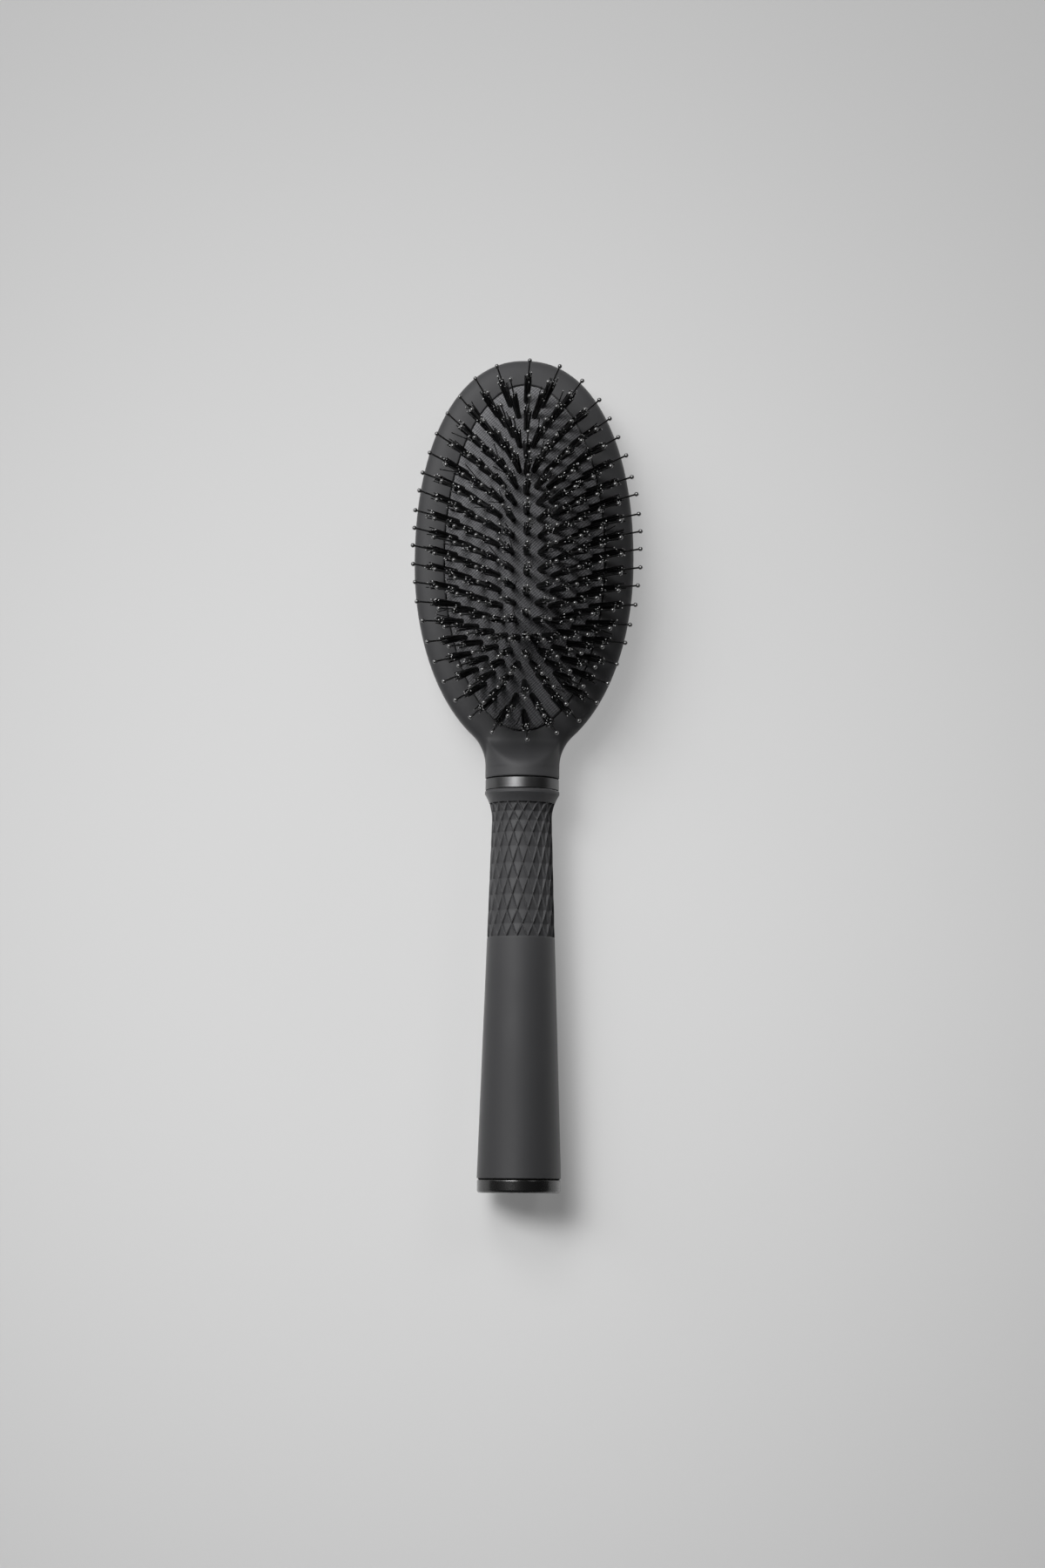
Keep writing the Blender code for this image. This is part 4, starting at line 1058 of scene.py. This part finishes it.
# %% Strand maker
LEAN_ACROSS = 0.65
LEAN_TO_TIP = 0.43
LEAN_TO_NECK = 0.50
LEAN_POWER_ACROSS = 0.67
LEAN_POWER_ALONG = 1.7
LONG_WAY = Vector((0.0, 1.0, 0.0))


def direction_at(across, along_cushion):
    """The way a pin leans, fanning outward from the middle."""
    across_share = abs(across) / OUTER_HALF_WIDTH
    along_share = abs(along_cushion) / OUTER_HALF_LENGTH
    lean_across = math.copysign(LEAN_ACROSS * across_share ** LEAN_POWER_ACROSS, across)
    most = LEAN_TO_TIP if along_cushion > 0 else LEAN_TO_NECK
    lean_along = math.copysign(most * along_share ** LEAN_POWER_ALONG, along_cushion)
    return Vector((lean_across, lean_along, math.sqrt(1 - lean_across ** 2 - lean_along ** 2)))


def square_to(direction):
    """Two directions that are square to a strand and to each other."""
    beside = direction.cross(LONG_WAY).normalized()
    return beside, direction.cross(beside)


class Strands:
    """Many thin tubes in one mesh."""

    def __init__(self):
        self.points = []
        self.faces = []
        self.pale = []

    def add(self, foot, direction, profile, sides, pale_end, glint_rings, bend=Vector()):
        """A tube from places along it and radii; bend is how far its end is carried sideways."""
        beside, other = square_to(direction)
        length = profile[-1][0]
        start = len(self.points)
        for place, radius in profile:
            middle = foot + direction * place + bend * max(0.0, place / length) ** 2
            for side in range(sides):
                turn = math.tau * side / sides
                offset = beside * (radius * math.cos(turn)) + other * (radius * math.sin(turn))
                self.points.append(middle + offset)
        for ring in range(len(profile) - 1):
            for side in range(sides):
                near = start + ring * sides
                after = (side + 1) % sides
                self.faces.append((near + side, near + after, near + sides + after, near + sides + side))
        last = start + (len(profile) - 1) * sides
        # The last rings of a strand carry its painted glint, a share of white.
        self.pale += [0.0] * (sides * (len(profile) - glint_rings)) + [pale_end] * (glint_rings * sides)
        self.faces.append(tuple(start + side for side in reversed(range(sides))))
        self.faces.append(tuple(last + side for side in range(sides)))

    def mesh(self, name):
        made = bpy.data.meshes.new(name)
        made.from_pydata(self.points, [], self.faces)
        made.shade_smooth()
        made.attributes.new("pale_end", "FLOAT", "POINT").data.foreach_set("value", self.pale)
        return made


side_lean = direction_at(OUTER_HALF_WIDTH, 0).angle(Vector((0.0, 0.0, 1.0)))
print("the pins at the sides lean by", round(math.degrees(side_lean)), "degrees")

# %% [markdown]
# The nylon is drawn through a die, so it is bright, with a little unevenness along it. The pins are dipped,
# and have a clear coat over them. The ends of the bristles and the balls of the pins get painted glints: a
# share of white painted on the strand's last rings, brighter on some bristles than on others.
# Each end could have a second material. A number stored on the points of the mesh is lighter: it is 0 along
# the strand and the painted glint's share of white at its end, and the finish reads it as an attribute.

# %% Black nylon
NYLON_UNEVEN = 1.5 * MM
NYLON_FINE = 0.2 * MM
NYLON_FINE_DEPTH = 0.004 * MM


def black_nylon(name, level, roughness, specular, coat=0.0):
    """Bright extruded nylon, a little uneven along its length, with painted glints at its ends."""
    finish = Finish(name, {"IOR": 1.6, "Specular IOR Level": specular,
                           "Coat Weight": coat, "Coat Roughness": 0.28, "Coat IOR": 1.9})
    fine = finish.noise(NYLON_FINE)
    pale_end = finish.node("Attribute", {"attribute_name": "pale_end"}, output="Fac")
    black = finish.mix(finish.noise(NYLON_UNEVEN), grey(level), grey(level + 8, 0.5))
    finish.surface({
        # grey(236) at the strand's end is a painted glint, not a colour of the nylon.
        "Base Color": finish.mix(pale_end, black, grey(236)),
        "Roughness": roughness + fine * 0.08,
        "Normal": finish.bump(fine, NYLON_FINE_DEPTH, strength=0.3),
    })
    return finish


pin_nylon = black_nylon("pin_nylon", 10, 0.26, 1.0, coat=0.6)
bristle_nylon = black_nylon("bristle_nylon", 7, 0.36, 0.35)
print("finishes:", pin_nylon.material.name, bristle_nylon.material.name)

# %% Shape of a pin and of a bristle
PIN_LENGTH = 20.3 * MM
PIN_RADIUS = 0.26 * MM
PIN_SIDES = 10
ROOT_FLARE = 1.2
BALL_RADIUS = 0.67 * MM
# Share of white painted on each ball as a painted glint.
BALL_PAINTED_GLINT = 0.025
BALL_TURNS = np.radians([152, 130, 108, 86, 64, 42, 22, 6])
ROOT_SINK = 1.0 * MM
BRISTLE_LENGTH = 11.9 * MM
BRISTLE_RADIUS = 0.155 * MM
BRISTLE_SIDES = 5
BRISTLE_END_RINGS = 3
BEAD_SWELL = 1.25

ball_middle = PIN_LENGTH - BALL_RADIUS
pin_profile = [(-ROOT_SINK, PIN_RADIUS * ROOT_FLARE), (0.6 * PIN_LENGTH, PIN_RADIUS),
               (ball_middle - 1.9 * BALL_RADIUS, PIN_RADIUS)]
for turn in BALL_TURNS:
    pin_profile.append((ball_middle + BALL_RADIUS * math.cos(turn), BALL_RADIUS * math.sin(turn)))


def bristle_profile(length):
    """Places and radii of one bristle with a rounded end."""
    end = BRISTLE_RADIUS
    bead = BEAD_SWELL * end
    return [(-ROOT_SINK, end), (0.5 * length, end), (length - 1.9 * end, end), (length - 1.1 * end, bead),
            (length - 0.4 * end, 0.9 * bead), (length, 0.35 * end)]


print("a pin is", round(PIN_LENGTH / BRISTLE_LENGTH, 2), "times as long as its bristles")

# %% [markdown]
# No two bristles of a real tuft are alike. Small chances, drawn in a fixed order from one seed, give each
# strand its own lean, length and bend, and let a few fly away from the bundle.

# %% Grow the tufts
SEED = 7
BUNDLE_RINGS = ((6, 0.36 * MM), (12, 0.70 * MM))
BUNDLE_RADIUS = BUNDLE_RINGS[-1][1]
PIN_NUDGE = 0.012
TURN_JITTER = 0.2
SPLAY = 0.032
SPLAY_JITTER = 0.013
SIDE_JITTER = 0.012
FLYAWAY_SHARE = 0.03
FLYAWAY_SPLAYS = (0.05, 0.22)
LENGTH_CHOICES = (0.88, 0.95, 1.0, 1.04, 1.12)
LENGTH_JITTER = (0.97, 1.03)
BEND = 0.1 * MM
# Each bristle's end gets a random share of painted glint.
PAINTED_GLINT_SPREAD = 1.5
PAINTED_GLINT_LESS = 0.7
chance = random.Random(SEED)


def add_bristle(bristles, foot, direction, nudge, turn, radius):
    """One bristle of a tuft, at a turn about its pin."""
    beside, other = square_to(direction)
    outward = beside * math.cos(turn) + other * math.sin(turn)
    splay = SPLAY * radius / BUNDLE_RADIUS + chance.gauss(0, SPLAY_JITTER)
    if chance.random() < FLYAWAY_SHARE:
        splay += chance.uniform(*FLYAWAY_SPLAYS)
    side = outward.cross(direction) * chance.gauss(0, SIDE_JITTER)
    way = (direction + outward * splay + side).normalized()
    length = BRISTLE_LENGTH * chance.choice(LENGTH_CHOICES) * chance.uniform(*LENGTH_JITTER)
    bend = (outward + nudge) * chance.gauss(0, BEND)
    pale = max(0.0, PAINTED_GLINT_SPREAD * chance.random() - PAINTED_GLINT_LESS)
    root = foot + outward * radius
    bristles.add(root, way, bristle_profile(length), BRISTLE_SIDES, pale, BRISTLE_END_RINGS, bend)


for name, places in groups:
    pins = Strands()
    bristles = Strands()
    for across, along_cushion in places:
        foot = Vector((across, CUSHION_MIDDLE + along_cushion, dome_height(across, along_cushion)))
        nudge = Vector((chance.gauss(0, PIN_NUDGE), chance.gauss(0, PIN_NUDGE), 0.0))
        direction = (direction_at(across, along_cushion) + nudge).normalized()
        pins.add(foot, direction, pin_profile, PIN_SIDES, BALL_PAINTED_GLINT, len(BALL_TURNS))
        start = chance.uniform(0, math.tau)
        for count, radius in BUNDLE_RINGS:
            for index in range(count):
                turn = start + math.tau * (index + chance.uniform(-TURN_JITTER, TURN_JITTER)) / count
                add_bristle(bristles, foot, direction, nudge, turn, radius)
    nodes = [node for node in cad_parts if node.startswith("tuft_" + name)]
    add_piece(pins.mesh("pins_" + name), pin_nylon, "cushion", "tuft_nylon", *nodes)
    add_piece(bristles.mesh("bristles_" + name), bristle_nylon, "cushion", "tuft_nylon", *nodes)

# %% [markdown]
# ## The table
# The table is a plain pale sheet. Its soft pool of light is a painted pool: the sheet's colour is paler
# near the brush and darker away from it. Close by, part of what the camera sees of it is a painted glow of
# the sheet's colour, more beside the head than at the butt. That painted light keeps the shadow as faint as
# it is in the picture, where more lamps would flatten the brush as well.
# Far from the brush the sheet only glows with its pale colour, painted a little darker towards the horizon,
# so that the horizon stays pale in low views.
# Both are for the camera and for reflections, and add no light to the brush.

# %% Table
TABLE_LEVEL = 214
TABLE_HALF = 6.0
LIFT_AT_BUTT = 0.24
LIFT_AT_HEAD = 0.50
LIFT_START = -0.15
LIFT_END = 0.03
FAR_START = 0.6
FAR_END = 1.8
POOL_LEFT = 0.03
POOL_DOWN = 0.04
POOL_STRETCH = 1.3
POOL_START = 0.05
POOL_REACH = 0.42
PAINTED_POOL_DROP = 36
HORIZON_START = 1.5
PAINTED_HORIZON_DROP = 40

low, high = -TABLE_HALF, TABLE_HALF
table_mesh = bpy.data.meshes.new("table")
table_mesh.from_pydata([(low, low, 0), (high, low, 0), (high, high, 0), (low, high, 0)], [], [(0, 1, 2, 3)])
table = new_object("table", table_mesh)

paper = Finish("pale_paper", {})
table_mesh.materials.append(paper.material)
x, y = paper.parts(paper.place())[:2]
from_brush = (x * x + y * y) ** 0.5
# The glow is painted light that lifts the shadow, more beside the head than at the butt.
shadow_lift = paper.rise(y, LIFT_START, LIFT_END, LIFT_AT_BUTT, LIFT_AT_HEAD)
painted_glow_share = paper.rise(from_brush, FAR_START, FAR_END, low=shadow_lift)
# The pool of light is painted into the sheet's colour: paler near the brush, darker away from it.
pool_x = x + POOL_LEFT
pool_y = y + POOL_DOWN
from_pool = (pool_x * pool_x * POOL_STRETCH + pool_y * pool_y) ** 0.5
painted_pool_share = paper.rise(from_pool, POOL_START, POOL_REACH)
painted_pool_colour = paper.mix(painted_pool_share, grey(TABLE_LEVEL), grey(TABLE_LEVEL - PAINTED_POOL_DROP))
to_horizon = paper.rise(from_brush, HORIZON_START, TABLE_HALF)
painted_glow_colour = paper.mix(to_horizon, painted_pool_colour, grey(TABLE_LEVEL - PAINTED_HORIZON_DROP))
seen = paper.node("LightPath", output="Is Camera Ray") + paper.node("LightPath", output="Is Glossy Ray")
seen = seen + paper.node("LightPath", output="Is Transmission Ray")
lit_paper = paper.node("BsdfDiffuse", inputs={"Color": painted_pool_colour})
painted_glow = paper.node("Emission", inputs={"Color": painted_glow_colour, "Strength": 1.0})
both = paper.node("MixShader", inputs={0: painted_glow_share * seen, 1: lit_paper, 2: painted_glow})
paper.feed(paper.tree.nodes["Material Output"], {"Surface": both})
print("the table is", round(2 * TABLE_HALF), "m wide")

# %% [markdown]
# ## The light
# Three soft boxes stand side by side at the upper left. Together they are one broad key, brightest in the
# middle. It throws the short soft shadow to the lower right and draws the small bright dots on the balls,
# together with the painted glint on each ball.
# A box above the tip lights the head's rim, and a low card on either side opens the far edges.
# One bigger lamp would be simpler, but its even square shows in the gloss of the cap and the collar.
# The dim studio round them is a ramp on the sky, pale at the horizon and dark overhead.

# %% Lamps and the dim studio
LAMP_DISTANCE = 3.8
BOX = 1.20
TOP_BOX = 1.30
SKY = [(0.0, grey(170)), (0.015, grey(140)), (0.06, grey(80)), (0.25, grey(60)), (0.6, grey(26))]


def add_lamp(name, across_tilt, along_tilt, size, level):
    """A square soft lamp that lights the table to a share of full white at the brush."""
    tilts = (math.radians(across_tilt), math.radians(along_tilt))
    way = Vector((math.tan(tilts[0]), math.tan(tilts[1]), 1.0)).normalized()
    lamp = bpy.data.lights.new(name, "AREA")
    lamp.shape = "SQUARE"
    lamp.size = size
    lamp.energy = level * (math.pi * LAMP_DISTANCE) ** 2 / way.z
    placed = new_object(name, lamp)
    placed.location = AIM + way * LAMP_DISTANCE
    placed.rotation_mode = "QUATERNION"
    placed.rotation_quaternion = way.to_track_quat("Z", "Y")
    placed.visible_camera = False


add_lamp("key_inner", -14, 20, BOX, 0.20)
add_lamp("key_softbox", -28, 22, BOX, 0.43)
add_lamp("key_wing", -42, 28, BOX, 0.13)
add_lamp("top_softbox", -20, 44, TOP_BOX, 0.17)
add_lamp("right_card", 40, 38, BOX, 0.05)
add_lamp("left_card", -64, 45, BOX, 0.03)

world = bpy.data.worlds.new("studio")
bpy.context.scene.world = world
world.use_nodes = True
sky = Nodes(world.node_tree)
upward = sky.parts(sky.node("TexCoord", output="Generated"))[2]
sky.feed(sky.tree.nodes["Background"], {"Color": sky.ramp(upward, SKY)})
bpy.context.scene.view_settings.view_transform = "Standard"

# %% [markdown]
# The finer pieces must stay inside the CAD model's box.
